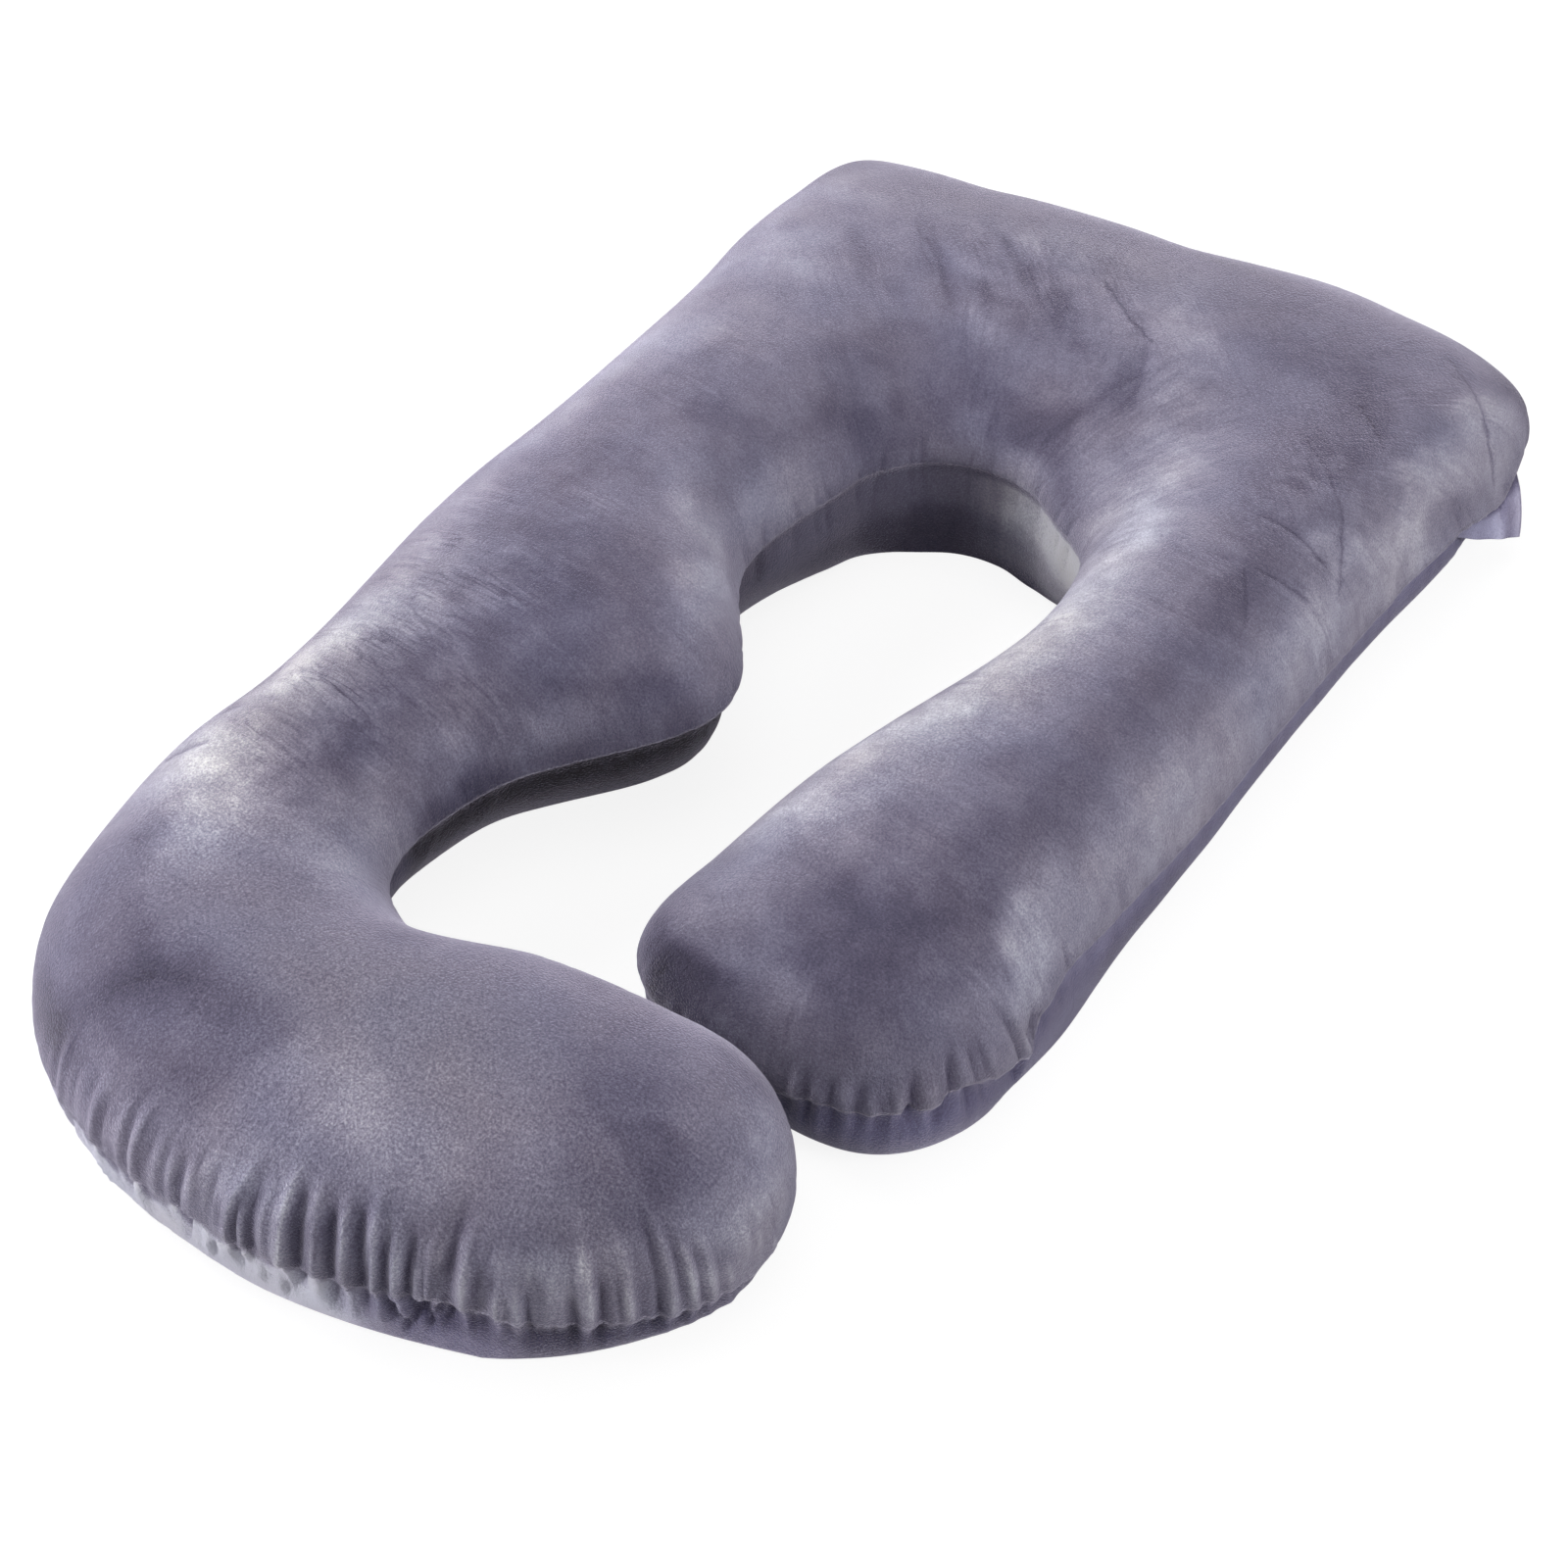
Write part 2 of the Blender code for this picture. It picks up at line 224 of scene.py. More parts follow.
# The cover's relief. Places along the seam are cm anticlockwise from the straight leg's end,
# places across are cm up from the seam; depths and widths are mm.
relief = {
    # how far the sewn line strays from its even height: place, mm up
    "seamStray": ((0.5, -8), (1.5, -18), (2.6, -24), (3.3, 2), (5, 8), (6.6, 14), (8.8, 17), (12, 12),
                  (25, 8), (35, 10), (45, 8), (52, 6), (56, 5), (60, 9), (64, 13), (66.5, 15), (68.5, 10),
                  (70.5, 3), (72, -4), (75, -13), (76.3, -14), (77.3, -2), (80, -2), (84, 0),
                  (270, 4), (280, 15), (285, 10), (290, 6), (295, 2), (302, -3), (310, -3), (314, 1),
                  (319, 2), (321.5, -9), (328, -16), (331, -23), (334, -26), (338, -30), (344, -22),
                  (352, -8), (365, 0), (540, 0), (544, -6), (546.5, 3), (550.3, 3), (552.4, 6), (552.9, 14),
                  (553.5, 5), (555, 5), (555.6, 12), (556.2, 12), (557, 14), (558.6, 6), (560.4, -2)),
    "strayReach": (8.0, 7.0),  # cm up and down over which that fades
    "seamGroove": (2.4, 3.2),  # depth and half width
    # how far the lower side is drawn in under the seam, wall and foot: place, mm
    "tuck": ((0, 0), (296, 0), (308, 4), (328, 5), (340, 0), (376, 0), (392, 6), (402, 12), (416, 12),
             (426, 6), (440, 0)),
    # a sharper brim of the upper panel just over the seam: place, mm
    "edge": ((0, 0), (58, 0), (64, 3), (76, 3), (81, 0), (384, 0), (394, 2), (420, 2), (430, 0)),
    "edgeReach": 0.9,  # cm up in which it fades
    # wrinkles on the lower panel: from, to, step cm, lean cm, depth, half width, seed
    "lowerWrinkles": ((284, 318, 0.9, 1.8, 3.2, 2.8, 51), (318, 345, 1.8, 1.0, 1.2, 3.5, 52),
                      (540, 560, 1.1, 0.6, 1.0, 3.0, 53), (389, 424, 2.6, 1.8, 0.9, 4.0, 54)),
    # and between which values each one's slant, depth, width and cm down to its end are drawn
    "wrinkleRanges": ((-1, 1), (-1, 0.8), (0.7, 1.4), (1.5, 4.0)),
    # how far the upper panel stands over the seam: place, mm
    "lip": ((0, 5), (10, 4), (60, 4), (66, 6), (76, 5), (82, 1.5), (140, 1), (270, 1.5), (295, 0.6), (312, 0.8),
            (335, 2.5), (350, 1.5), (400, 3.0), (470, 2.5), (520, 1.5), (545, 4), (553, 6)),
    "lipShape": (2.4, 1.1, 1.3, 1.8),  # cm it fades up in; share cut in below, how far down, half width
    "crinkles": (0.9, 283, 344),  # height mm of the fine crinkles between the folds, from, to
    "crinkleSize": (0.5, 2.4, 7.0, 61),  # cm along and up, slant, seed
    "crinkleBelt": (8, 6, 2.0, 3.0, 6.0),  # cm: eased in, eased out; middle above the seam, full and gone from it
    "wrinkleShares": (1.5, 0.5, 1.6),  # lower wrinkles in the shape and in the painted light and shade, crinkles in the painted light and shade
    "floorEase": 1.6,  # cm up from the floor over which all relief comes in
    "lumps": (2.2, 13.0, 5),  # height mm, size cm, seed
    "foldStrength": 1.9,
    "foldReach": 1.2,  # times a fold's height
    "foldFade": (0.45, 1.0, 3.0),  # from and to, as a share of that; and cm below the seam
    "foldSpread": (0.25, 0.5),  # how much wider it gets upwards; how narrow its middle line is
    "foldAtSeam": 0.3,  # share of a fold's depth that is left at the sewn line
    "ridgeLimit": 2.4,  # mm
    "legFoldScale": (0.75, 0.6),  # height and depth
    "creaseStrength": 0.75,
    "creaseShape": (0.35, 0.12),  # shoulders, and the share of the depth left at the ends
    # folds over the seam: place at the seam, half way up, at the top, height cm, place 3.5 cm below,
    # depth (a ridge is above 0), half width
    "hookFolds": (
        (283.2, 283.0, 282.2, 6.0, 283.0, -0.8, 3.5), (289.2, 289.2, 289.0, 5.5, 289.0, -0.9, 3),
        (291.8, 291.8, 291.6, 7.0, 291.4, -1.0, 3.5), (293.8, 293.9, 293.6, 6.0, 293.4, -1.0, 3.5),
        (296.7, 296.8, 296.9, 5.5, 296.3, -2.0, 3.2), (299.4, 299.5, 299.6, 6.0, 299.0, -1.4, 3.5),
        (302.8, 302.7, 302.4, 7.5, 302.4, -2.8, 5), (306.2, 306.1, 305.4, 7.5, 305.8, -3.8, 6),
        (308.6, 308.5, 307.3, 7.5, 308.4, -3.2, 5), (310.7, 310.5, 309.3, 7.5, 310.5, -3.6, 5),
        (312.4, 312.2, 311.2, 6.5, 312.2, -2.8, 4), (313.9, 313.9, 313.5, 6.5, 313.9, -3.2, 4.5),
        (316.6, 316.5, 315.9, 9.0, 316.6, -2.6, 6), (318.8, 318.8, 318.7, 4.5, 318.8, -1.6, 3.5),
        (322.0, 321.9, 321.7, 5.5, 321.9, -2.6, 3.5), (324.8, 324.8, 324.3, 4.5, 324.6, -2.6, 3.5),
        (326.7, 326.8, 326.5, 6.5, 326.4, -2.8, 3.5), (329.5, 329.6, 329.3, 7.0, 329.4, -1.6, 4),
        (330.4, 330.6, 330.3, 9.5, 330.2, -2.8, 3.5), (332.2, 332.1, 331.9, 9.0, 332.2, -2.2, 3.5),
        (333.6, 333.3, 333.2, 8.0, 334.0, -2.0, 3), (334.9, 334.7, 334.6, 6.0, 335.4, -1.4, 3.5),
        (284.0, 283.9, 282.9, 6.5, 284.0, 1.4, 3), (288.4, 288.4, 288.2, 7.0, 288.4, 1.2, 3),
        (292.8, 292.8, 292.5, 8.0, 292.8, 1.6, 3), (297.8, 297.8, 297.6, 6.5, 297.6, 1.6, 3),
        (300.9, 301.3, 301.9, 7.5, 300.2, 2.6, 3), (304.9, 305.1, 304.0, 8.5, 304.2, 3.4, 3),
        (307.3, 307.3, 306.1, 8.0, 307.0, 2.6, 3), (309.6, 309.5, 308.2, 7.5, 309.3, 2.8, 3),
        (311.6, 311.5, 309.8, 8.5, 311.4, 4.0, 3), (313.2, 313.1, 312.3, 6.5, 313.0, 2.8, 3),
        (317.7, 317.7, 317.0, 7.0, 317.6, 2.0, 3.5), (319.9, 319.9, 319.9, 3.5, 319.6, 1.8, 3.5),
        (321.2, 321.2, 320.9, 7.0, 321.2, 2.4, 3.5), (325.8, 326.0, 325.1, 9.0, 325.4, 3.6, 3.5),
        (328.4, 328.6, 328.4, 7.5, 328.2, 1.6, 5), (331.3, 331.4, 331.1, 9.5, 331.2, 2.2, 3.5),
        (332.9, 332.7, 332.6, 8.5, 333.1, 1.8, 3.5), (334.2, 334.0, 333.9, 7.5, 334.6, 1.4, 3),
        (335.6, 335.4, 335.4, 5.0, 336.2, 1.4, 3.5)),
    "legFolds": (
        (544.0, 544.1, 544.2, 5.0, 543.6, -2.2, 3.5), (545.6, 545.6, 545.7, 4.5, 545.5, -2.2, 3.5),
        (547.5, 547.5, 547.6, 4.0, 547.4, -2.6, 3.5), (549.3, 549.4, 549.5, 4.5, 549.0, -3.0, 3.5),
        (550.9, 551.1, 551.3, 3.0, 550.6, -1.6, 3), (552.9, 553.2, 553.5, 4.5, 552.7, -4.0, 3.5),
        (555.6, 556.0, 556.4, 4.5, 555.2, -4.0, 3.5), (557.9, 557.9, 557.9, 5.0, 557.8, -2.4, 3.5),
        (559.0, 558.8, 558.6, 5.5, 559.4, -2.2, 3.5), (1.6, 0.8, -0.2, 8.0, 3.0, -4.2, 5),
        (4.4, 2.6, 1.2, 6.0, 6.0, -3.0, 4), (7.6, 8.2, 9.0, 5.0, 8.0, -2.0, 5),
        (544.9, 544.9, 544.9, 3.5, 544.8, 1.6, 3), (546.6, 546.6, 546.6, 3.5, 546.5, 1.8, 4),
        (548.5, 548.4, 548.5, 3.5, 548.3, 1.8, 4), (550.2, 550.3, 550.4, 3.0, 549.9, 1.6, 4),
        (551.9, 552.2, 552.4, 3.0, 551.8, 2.6, 4), (554.3, 554.5, 554.8, 3.5, 554.1, 2.4, 4.5),
        (556.9, 557.0, 557.0, 4.5, 556.8, 2.2, 4.5), (2.6, 1.8, 0.6, 8.0, 3.6, 2.6, 3.5),
        (559.5, 559.4, 559.2, 5.0, 559.8, 1.8, 3.5)),
    "scatter": (0.7, 0.55, 1.25),  # of the smaller folds: lean in cm, sizes between these shares
    # stretches of smaller folds: from, to, step cm, height cm, depth, half width, seed
    "smallFolds": ((255, 283, 1.7, 5.0, 0.3, 4.0, 11), (344, 372, 1.5, 5.0, 0.35, 3.8, 12),
                   (300, 332, 1.3, 6.0, 1.1, 3.0, 17), (285, 302, 0.8, 6.5, 0.6, 2.4, 21),
                   (538, 560, 1.0, 3.0, 0.7, 3.0, 18), (519, 543.4, 1.6, 3.5, 0.6, 3.8, 13),
                   (8, 80, 2.6, 3.0, 0.8, 5.0, 14), (80, 255, 2.6, 2.6, 0.8, 5.0, 15),
                   (372, 519, 2.4, 2.6, 0.8, 4.5, 16)),
    # creases on the upper panel: half width mm, depth, the plan points in cm it runs through,
    # then half width mm and strength where a sharp line of painted shade runs in it
    "creases": (
        (6, -1.8, (23.5, 44.1), (25.9, 42.4), (27.6, 40.4), (1.8, 0.7)),
        (6, -1.2, (22.2, 37.1), (25.6, 34.4), (28.6, 31.0), (1.5, 0.7)),
        (6, -2.0, (28.6, 31.0), (30.3, 28.0), (31.5, 25.5), (1.5, 0.8)),
        (6, -1.4, (25.3, 38.6), (27.1, 35.9), (28.0, 33.0)),
        (6, -1.6, (22.9, 32.6), (24.6, 33.0), (26.9, 32.2)),
        (6, -1.4, (22.9, 30.7), (24.2, 30.7), (25.5, 30.4)),
        (6, -1.6, (23.8, 25.9), (26.8, 26.1), (30.1, 25.7), (1.7, 0.8)),
        (6, -1.2, (23.7, 19.7), (24.5, 19.9), (25.3, 20.1)),
        (6, -1.6, (26.4, 20.6), (28.6, 21.2), (30.3, 21.9), (1.7, 0.8)),
        (6, -1.2, (25.7, 19.7), (27.2, 17.4), (28.4, 15.0), (1.5, 0.6)),
        (5, -1.8, (30.7, 38.0), (31.7, 35.9), (32.7, 33.9)),
        (5, -1.6, (28.2, 35.1), (29.0, 34.5), (29.6, 33.8)),
        (6, -2.4, (26.2, 56.4), (29.0, 54.6), (31.3, 52.7), (1.5, 0.8)),
        (5, -2.6, (31.3, 52.7), (33.2, 51.0), (34.5, 50.6), (1.7, 0.9)),
        (5, -1.4, (33.3, 53.1), (34.2, 54.2), (34.6, 55.6)),
        (9, -3.0, (-18.5, 43.5), (-14.0, 39.4), (-9.8, 34.0)),
        (6, -1.8, (-12.1, 46.3), (-9.0, 43.9), (-6.7, 41.2)),
        (6, -1.4, (-9.2, 48.4), (-8.3, 47.8), (-7.6, 47.0), (1.8, 0.5)),
        (6, -2.6, (-2.0, 46.4), (1.9, 43.5), (5.6, 41.3), (1.5, 1.2)),
        (10, -3.2, (3.6, 42.4), (6.2, 37.9), (7.4, 33.0)),
        (6, -1.4, (-20.2, 35.1), (-19.8, 34.4), (-19.3, 33.6)),
        (6, -1.6, (-18.6, 36.1), (-17.4, 35.2), (-16.4, 34.1)),
        (6, -1.6, (-16.9, 36.1), (-15.2, 34.2), (-13.7, 32.0)),
        (6, -1.4, (-13.4, 27.5), (-12.0, 27.4), (-10.7, 27.0)),
        (5, -3.0, (-31.0, -41.0), (-29.4, -39.6), (-28.0, -38.6), (2.4, 1.0)),
        (5, -2.6, (-31.0, -35.6), (-29.8, -34.7), (-28.6, -34.1), (2.2, 0.8)),
        (5, 1.0, (-20.1, -43.0), (-17.4, -41.0), (-13.4, -40.0)),
        (5, -1.2, (-21.0, -41.4), (-18.3, -39.6), (-15.0, -38.8)),
        (5, -1.2, (-23.8, -38.9), (-21.6, -37.8), (-19.0, -37.2))),
}


def tableAt(rows, at, length):
    # a given table of place and value, eased from row to row and closed round the seam
    places, values = np.array(rows, float).T
    places = np.append(places, places[0] + length)
    values = np.append(values, values[0])
    at = np.mod(at - places[0], length) + places[0]
    piece = np.clip(np.searchsorted(places, at, "right") - 1, 0, len(places) - 2)
    share = smoothStep((at - places[piece]) / (places[piece + 1] - places[piece]), 0, 1)
    return values[piece] * (1 - share) + values[piece + 1] * share


def slideAcross(points, across, wanted):
    # every column's surface read again at other distances from the seam
    below = np.clip((across[:, None, :] <= wanted[None, :, :]).sum(axis=0) - 1, 0, len(across) - 2)
    low = np.take_along_axis(across, below, axis=0)
    high = np.take_along_axis(across, below + 1, axis=0)
    share = ((wanted - low) / (high - low))[..., None]
    index = np.repeat(below[..., None], 3, axis=2)
    return np.take_along_axis(points, index, axis=0) * (1 - share) + \
        np.take_along_axis(points, index + 1, axis=0) * share


def straySeam(points, seamRow):
    # the sewn line strays up and down; the rows near it follow, fading as (1 - (d / reach)^2)^2
    s, d, length = clothPlaces(points, seamRow)
    up, down = relief["strayReach"]
    fade = np.clip(1 - (d / np.where(d > 0, up, down)) ** 2, 0, 1) ** 2
    return slideAcross(points, d, d + tableAt(relief["seamStray"], s, length) / 10 * fade)


def scatteredFolds(stretch):
    # a stretch of small uneven folds in the same form as the listed rows
    first, last, step, height, depth, width, seed = stretch
    rng = np.random.default_rng(seed)
    count = int((last - first) / step)
    places = first + (np.arange(count) + rng.uniform(0.1, 0.9, count)) * step
    leaning, smallest, largest = relief["scatter"]
    lean = rng.uniform(-leaning, leaning, (count, 2))
    size = rng.uniform(smallest, largest, (count, 3))
    return [(p, p + a * 0.5, p + a, height * h, p + b, -depth * k, width * w)
            for p, (a, b), (h, k, w) in zip(places, lean, size)]


def foldRelief(rows, s, d, length):
    # each fold is depth * exp(-(distance from its bent line / width)^2), fading upwards and below
    # and a narrower line along its middle, which the painted light and shade follow
    fadeFrom, fadeTo, below = relief["foldFade"]
    wider, narrow = relief["foldSpread"]
    total, lines = np.zeros_like(d), np.zeros_like(d)
    for atSeam, halfWay, atTop, height, atFoot, depth, width in rows:
        t = np.clip(d / (height * relief["foldReach"]), 0, 1.2)
        line = atSeam + (4 * halfWay - atTop - 3 * atSeam) * t + 2 * (atTop + atSeam - 2 * halfWay) * t * t
        line = np.where(d < 0, atSeam + (atFoot - atSeam) * np.clip(-d, 0, 5) / 3.5, line)
        away = np.mod(s - line + length / 2, length) - length / 2
        fade = (1 - smoothStep(t, fadeFrom, fadeTo)) * np.exp(-(np.minimum(d, 0) / below) ** 2)
        spread = width / 10 * (1 + wider * t)
        total += depth * np.exp(-np.abs(away / spread) ** 1.7) * fade
        lines += depth * np.exp(-(away / spread / narrow) ** 2) * fade
    atSeam = relief["foldAtSeam"]
    total *= relief["foldStrength"] * (atSeam + (1 - atSeam) * smoothStep(np.abs(d), 0.0, 1.0))
    return total, lines


def lowerWrinkles(s, d):
    # slanting folds of both signs that stop just under the seam and run out towards the floor
    total = np.zeros_like(d)
    for first, last, step, lean, depth, width, seed in relief["lowerWrinkles"]:
        rng = np.random.default_rng(seed)
        for place in np.arange(first, last, step):
            slope, size, wide, low = [rng.uniform(*limits) for limits in relief["wrinkleRanges"]]
            away = s - place - slope * lean * d / 3
            fade = smoothStep(-d, 0.0, 0.7) * (1 - smoothStep(-d, low, low + 2.5))
            total += depth * size * np.exp(-(away / (width * wide / 10)) ** 2) * fade
    return total


def lineDistance(points, u, v, steps=10):
    # distance to the bent line through three points, and how far along it the nearest place is
    (au, av), (bu, bv), (cu, cv) = points
    nearest = np.full(u.shape, 1e9)
    along = np.zeros(u.shape)
    for i in range(steps + 1):
        t = i / steps
        first, second, third = 2 * (t - 0.5) * (t - 1), -4 * t * (t - 1), 2 * t * (t - 0.5)
        far = np.hypot(u - first * au - second * bu - third * cu, v - first * av - second * bv - third * cv)
        along = np.where(far < nearest, t, along)
        nearest = np.minimum(nearest, far)
    return nearest, along


def creaseRelief(rows, u, v):
    # a trough or ridge along each line, tapered to its ends, with low shoulders beside a trough
    shoulders, atEnds = relief["creaseShape"]
    total = np.zeros_like(u)
    for width, depth, *points in rows:
        far, along = lineDistance(points[:3], u, v)
        taper = np.clip(4 * along * (1 - along), 0, 1) ** 0.6 + atEnds
        x = far / (width / 10)
        total += depth * (1 - shoulders * x**2) * np.exp(-x**2) * taper
    return total


def softNoise(u, v, seed):
    # random heights on a unit lattice with eased steps between them, about -1 to 1
    lattice = np.random.default_rng(seed).uniform(-1, 1, (64, 64))
    iu, iv = np.floor(u).astype(int), np.floor(v).astype(int)
    fu, fv = smoothStep(u - iu, 0, 1), smoothStep(v - iv, 0, 1)
    a, b = lattice[iu % 64, iv % 64], lattice[(iu + 1) % 64, iv % 64]
    c, e = lattice[iu % 64, (iv + 1) % 64], lattice[(iu + 1) % 64, (iv + 1) % 64]
    return (a * (1 - fu) + b * fu) * (1 - fv) + (c * (1 - fu) + e * fu) * fv


def fineCrinkles(s, d):
    # slanting noise in a belt over the seam, eased in and out along it
    height, first, last = relief["crinkles"]
    along, up, slant, seed = relief["crinkleSize"]
    easeIn, easeOut, middle, full, end = relief["crinkleBelt"]
    share = smoothStep(s, first, first + easeIn) * (1 - smoothStep(s, last - easeOut, last))
    share = share * (1 - smoothStep(np.abs(d - middle), full, end))
    return height * softNoise(s / along, d / up + s / slant, seed) * share


def coverRelief(points, seamRow):
    # mm outwards for every grid point
    s, d, length = clothPlaces(points, seamRow)
    x, y = planPlaces(points)
    aboveSeam = smoothStep(d, 0.0, 0.3)
    height, size, seed = relief["lumps"]
    lumps = height * (softNoise(x / size, y / size, seed) + 0.5 * softNoise(x / size * 2.1, y / size * 2.1, seed + 1))
    reach, share, below, width = relief["lipShape"]
    over = np.exp(-(d / reach) ** 2) * aboveSeam - share * np.exp(-((d + below) / width) ** 2) * (d < -0.1)
    over = tableAt(relief["lip"], s, length) * over
    depth, width = relief["seamGroove"]
    groove = -depth * np.exp(-(d / (width / 10)) ** 2)
    shorter, shallower = relief["legFoldScale"]
    folds = list(relief["hookFolds"])
    folds += [row[:3] + (row[3] * shorter, row[4], row[5] * shallower, row[6]) for row in relief["legFolds"]]
    for stretch in relief["smallFolds"]:
        folds += scatteredFolds(stretch)
    folds, lines = foldRelief(folds, s, d, length)
    wrinkles, crinkles = lowerWrinkles(s, d), fineCrinkles(s, d)
    limit = relief["ridgeLimit"]
    folds = np.minimum(folds, limit * np.tanh(folds / limit))
    inShape, inTone, crinklesInTone = relief["wrinkleShares"]
    folds = folds * smoothStep(d[-1] - d, *pillow["crownEase"]) + inShape * wrinkles + crinkles
    lines = lines + inTone * wrinkles + crinklesInTone * crinkles
    creases = relief["creaseStrength"] * creaseRelief(relief["creases"], x, y) * smoothStep(d, 0.0, 1.5)
    over += tableAt(relief["edge"], s, length) * np.exp(-(d / relief["edgeReach"]) ** 2) * aboveSeam
    total = lumps + over + groove + folds + creases
    return total * smoothStep(points[..., 2] / cm, 0.0, relief["floorEase"]), folds, lines, creases


def tuckUnder(points, seamRow):
    # the rows below the seam move straight in, by all of the tuck from 1.5 cm down to the foot
    s, d, length = clothPlaces(points, seamRow)
    seam = points[seamRow, :, :2]
    ahead = unit(np.roll(seam, -6, axis=0) - np.roll(seam, 6, axis=0))
    out = np.column_stack((ahead[:, 1], -ahead[:, 0]))
    under = smoothStep(-d, 0.0, 1.5) * smoothStep(np.arange(len(points))[:, None] / pillow["baseRows"], 0.0, 1.0)
    moved = points.copy()
    moved[..., :2] -= out[None] * (tableAt(relief["tuck"], s, length) * mm * under)[..., None]
    return moved


def placed(name, data):
    item = bpy.data.objects.new(name, data)
    bpy.context.scene.collection.objects.link(item)
    return item


def gridMesh(name, points, layers, material, closed=True):
    # closed joins the last column to the first; layers are values for every point, kept as attributes
    rows, columns = points.shape[:2]
    r, c = np.meshgrid(np.arange(rows - 1), np.arange(columns if closed else columns - 1), indexing="ij")
    n = (c + 1) % columns
    quads = np.stack((r * columns + c, r * columns + n, (r + 1) * columns + n, (r + 1) * columns + c), -1)
    if not closed:
        quads = quads[..., [0, 3, 2, 1]]  # the open sheet faces the other way
    mesh = bpy.data.meshes.new(name)
    mesh.from_pydata(points.reshape(-1, 3), [], quads.reshape(-1, 4))
    for layerName, values in layers.items():
        kind, field, shape = "FLOAT", "value", points.shape[:2]
        if np.ndim(values) == 3:
            kind, field, shape = "FLOAT_VECTOR", "vector", points.shape
        layer = mesh.attributes.new(layerName, kind, "POINT")
        layer.data.foreach_set(field, np.broadcast_to(values, shape).reshape(-1).astype(np.float32))
    mesh.materials.append(material)
    return placed(name, mesh)


def weldSpine(piece):
    # the two sides of the crown line and of the base meet in doubled points
    work = bmesh.new()
    work.from_mesh(piece.data)
    bmesh.ops.remove_doubles(work, verts=work.verts, dist=0.00002)
    bmesh.ops.recalc_face_normals(work, faces=work.faces)
    work.to_mesh(piece.data)
    work.free()
    piece.data.shade_smooth()


# The plush: colours by level, -1 dark to 1 light, from how the pile lies and from painted light and shade.
plush = {
    "middle": (0.160, 0.148, 0.214, 1),
    "contrast": 3.0,  # how many times lighter one step of level is
    "hueWander": 0.028,
    "surface": {"Roughness": 0.9, "Specular IOR Level": 0.2, "Sheen Weight": 1.0, "Sheen Roughness": 0.3,
                "Sheen Tint": (0.85, 0.79, 0.97, 1)},
    "grainSize": 1.8,  # mm
    "brushSize": (5.5, 44.0),  # mm across a stroke and along it
    "brushTurns": (-4, -45),  # degrees in the plan, on top: at the legs and at the head
    "headBegins": (0.2, 0.3),  # metres up the plan, from the legs' strokes to the head's
    "marks": (0.28, 0.7, -0.3),  # strokes that begin to leave dark marks, that do so fully, level
    "combed": (0.6, 1.5),  # stroked so much where the finest lines begin, and are full
    "combedDepth": 0.75,  # how dark those lines are
    "mottleSize": (95.0, 24.0),  # mm, large and small
    "mottled": (0.15, 0.5, 0.7),  # how much the clouds show: everywhere, by tone, by strokes
    "hueScale": 14.0,  # for each metre
    "heights": (0.6, 0.4),  # of the strokes and of the tufts
    "bump": 0.7,
    "creaseWaver": 1.4,  # mm
    "creaseShade": 0.5,  # how dark the painted shade in a sharp crease is
    "creasesAbove": (0.08, 0.10),  # metres up at which they begin and are full
    # more sharp lines of painted shade in creases: plan points in cm, half width mm, strength
    "creaseLines": (
        ((5.1, 41.1), (6.5, 38.2), (7.7, 34.3), 3.5, 0.45),
        ((-18.6, 43.4), (-15.4, 40.7), (-11.8, 36.7), 2.6, 0.45),
        ((-12.6, 46.5), (-10.2, 44.5), (-7.1, 41.9), 2.2, 0.35),
        ((-9.6, 48.4), (-6.6, 45.0), (-4.9, 42.2), 2.4, 0.35),
        ((-5.3, 48.9), (-4.4, 48.2), (-3.4, 47.0), 1.8, 0.5)),
}


def newGroup(name, inputs, outputs):
    # inputs by name: a number is a value, a tuple a colour and None a vector; outputs are values or a colour
    group = bpy.data.node_groups.new(name, "ShaderNodeTree")
    for socketName, value in inputs.items():
        kind = "Vector" if value is None else "Color" if isinstance(value, tuple) else "Float"
        socket = group.interface.new_socket(name=socketName, in_out="INPUT", socket_type="NodeSocket" + kind)
        if value is not None:
            socket.default_value = value
    for socketName in outputs:
        kind = "Color" if socketName == "Color" else "Float"
        group.interface.new_socket(name=socketName, in_out="OUTPUT", socket_type="NodeSocket" + kind)
    return group, group.nodes.new("NodeGroupInput").outputs, group.nodes.new("NodeGroupOutput").inputs


def put(tree, kind, inputs=None, **settings):
    # a node with its settings, and inputs that are either values or other nodes' outputs
    item = tree.nodes.new(kind)
    for name, value in settings.items():
        setattr(item, name, value)
    for key, value in (inputs or {}).items():
        if isinstance(value, bpy.types.NodeSocket):
            tree.links.new(value, item.inputs[key])
        else:
            item.inputs[key].default_value = value
    return item


def maths(tree, operation, a, b=0.0, c=0.0):
    return put(tree, "ShaderNodeMath", {0: a, 1: b, 2: c}, operation=operation).outputs[0]


def times(tree, a, b):
    return maths(tree, "MULTIPLY", a, b)


def timesPlus(tree, a, b, c):
    return maths(tree, "MULTIPLY_ADD", a, b, c)


def vectorMaths(tree, operation, a, b):
    item = put(tree, "ShaderNodeVectorMath", {0: a, 1: b}, operation=operation)
    return item.outputs["Value" if operation in ("DOT_PRODUCT", "DISTANCE") else "Vector"]


def clamped(tree, value, low, high):
    return put(tree, "ShaderNodeClamp", {0: value, 1: low, 2: high}).outputs[0]


def mapped(tree, value, fromLow, fromHigh, toLow=0.0, toHigh=1.0, kind="LINEAR"):
    return put(tree, "ShaderNodeMapRange", {0: value, 1: fromLow, 2: fromHigh, 3: toLow, 4: toHigh},
               interpolation_type=kind).outputs[0]


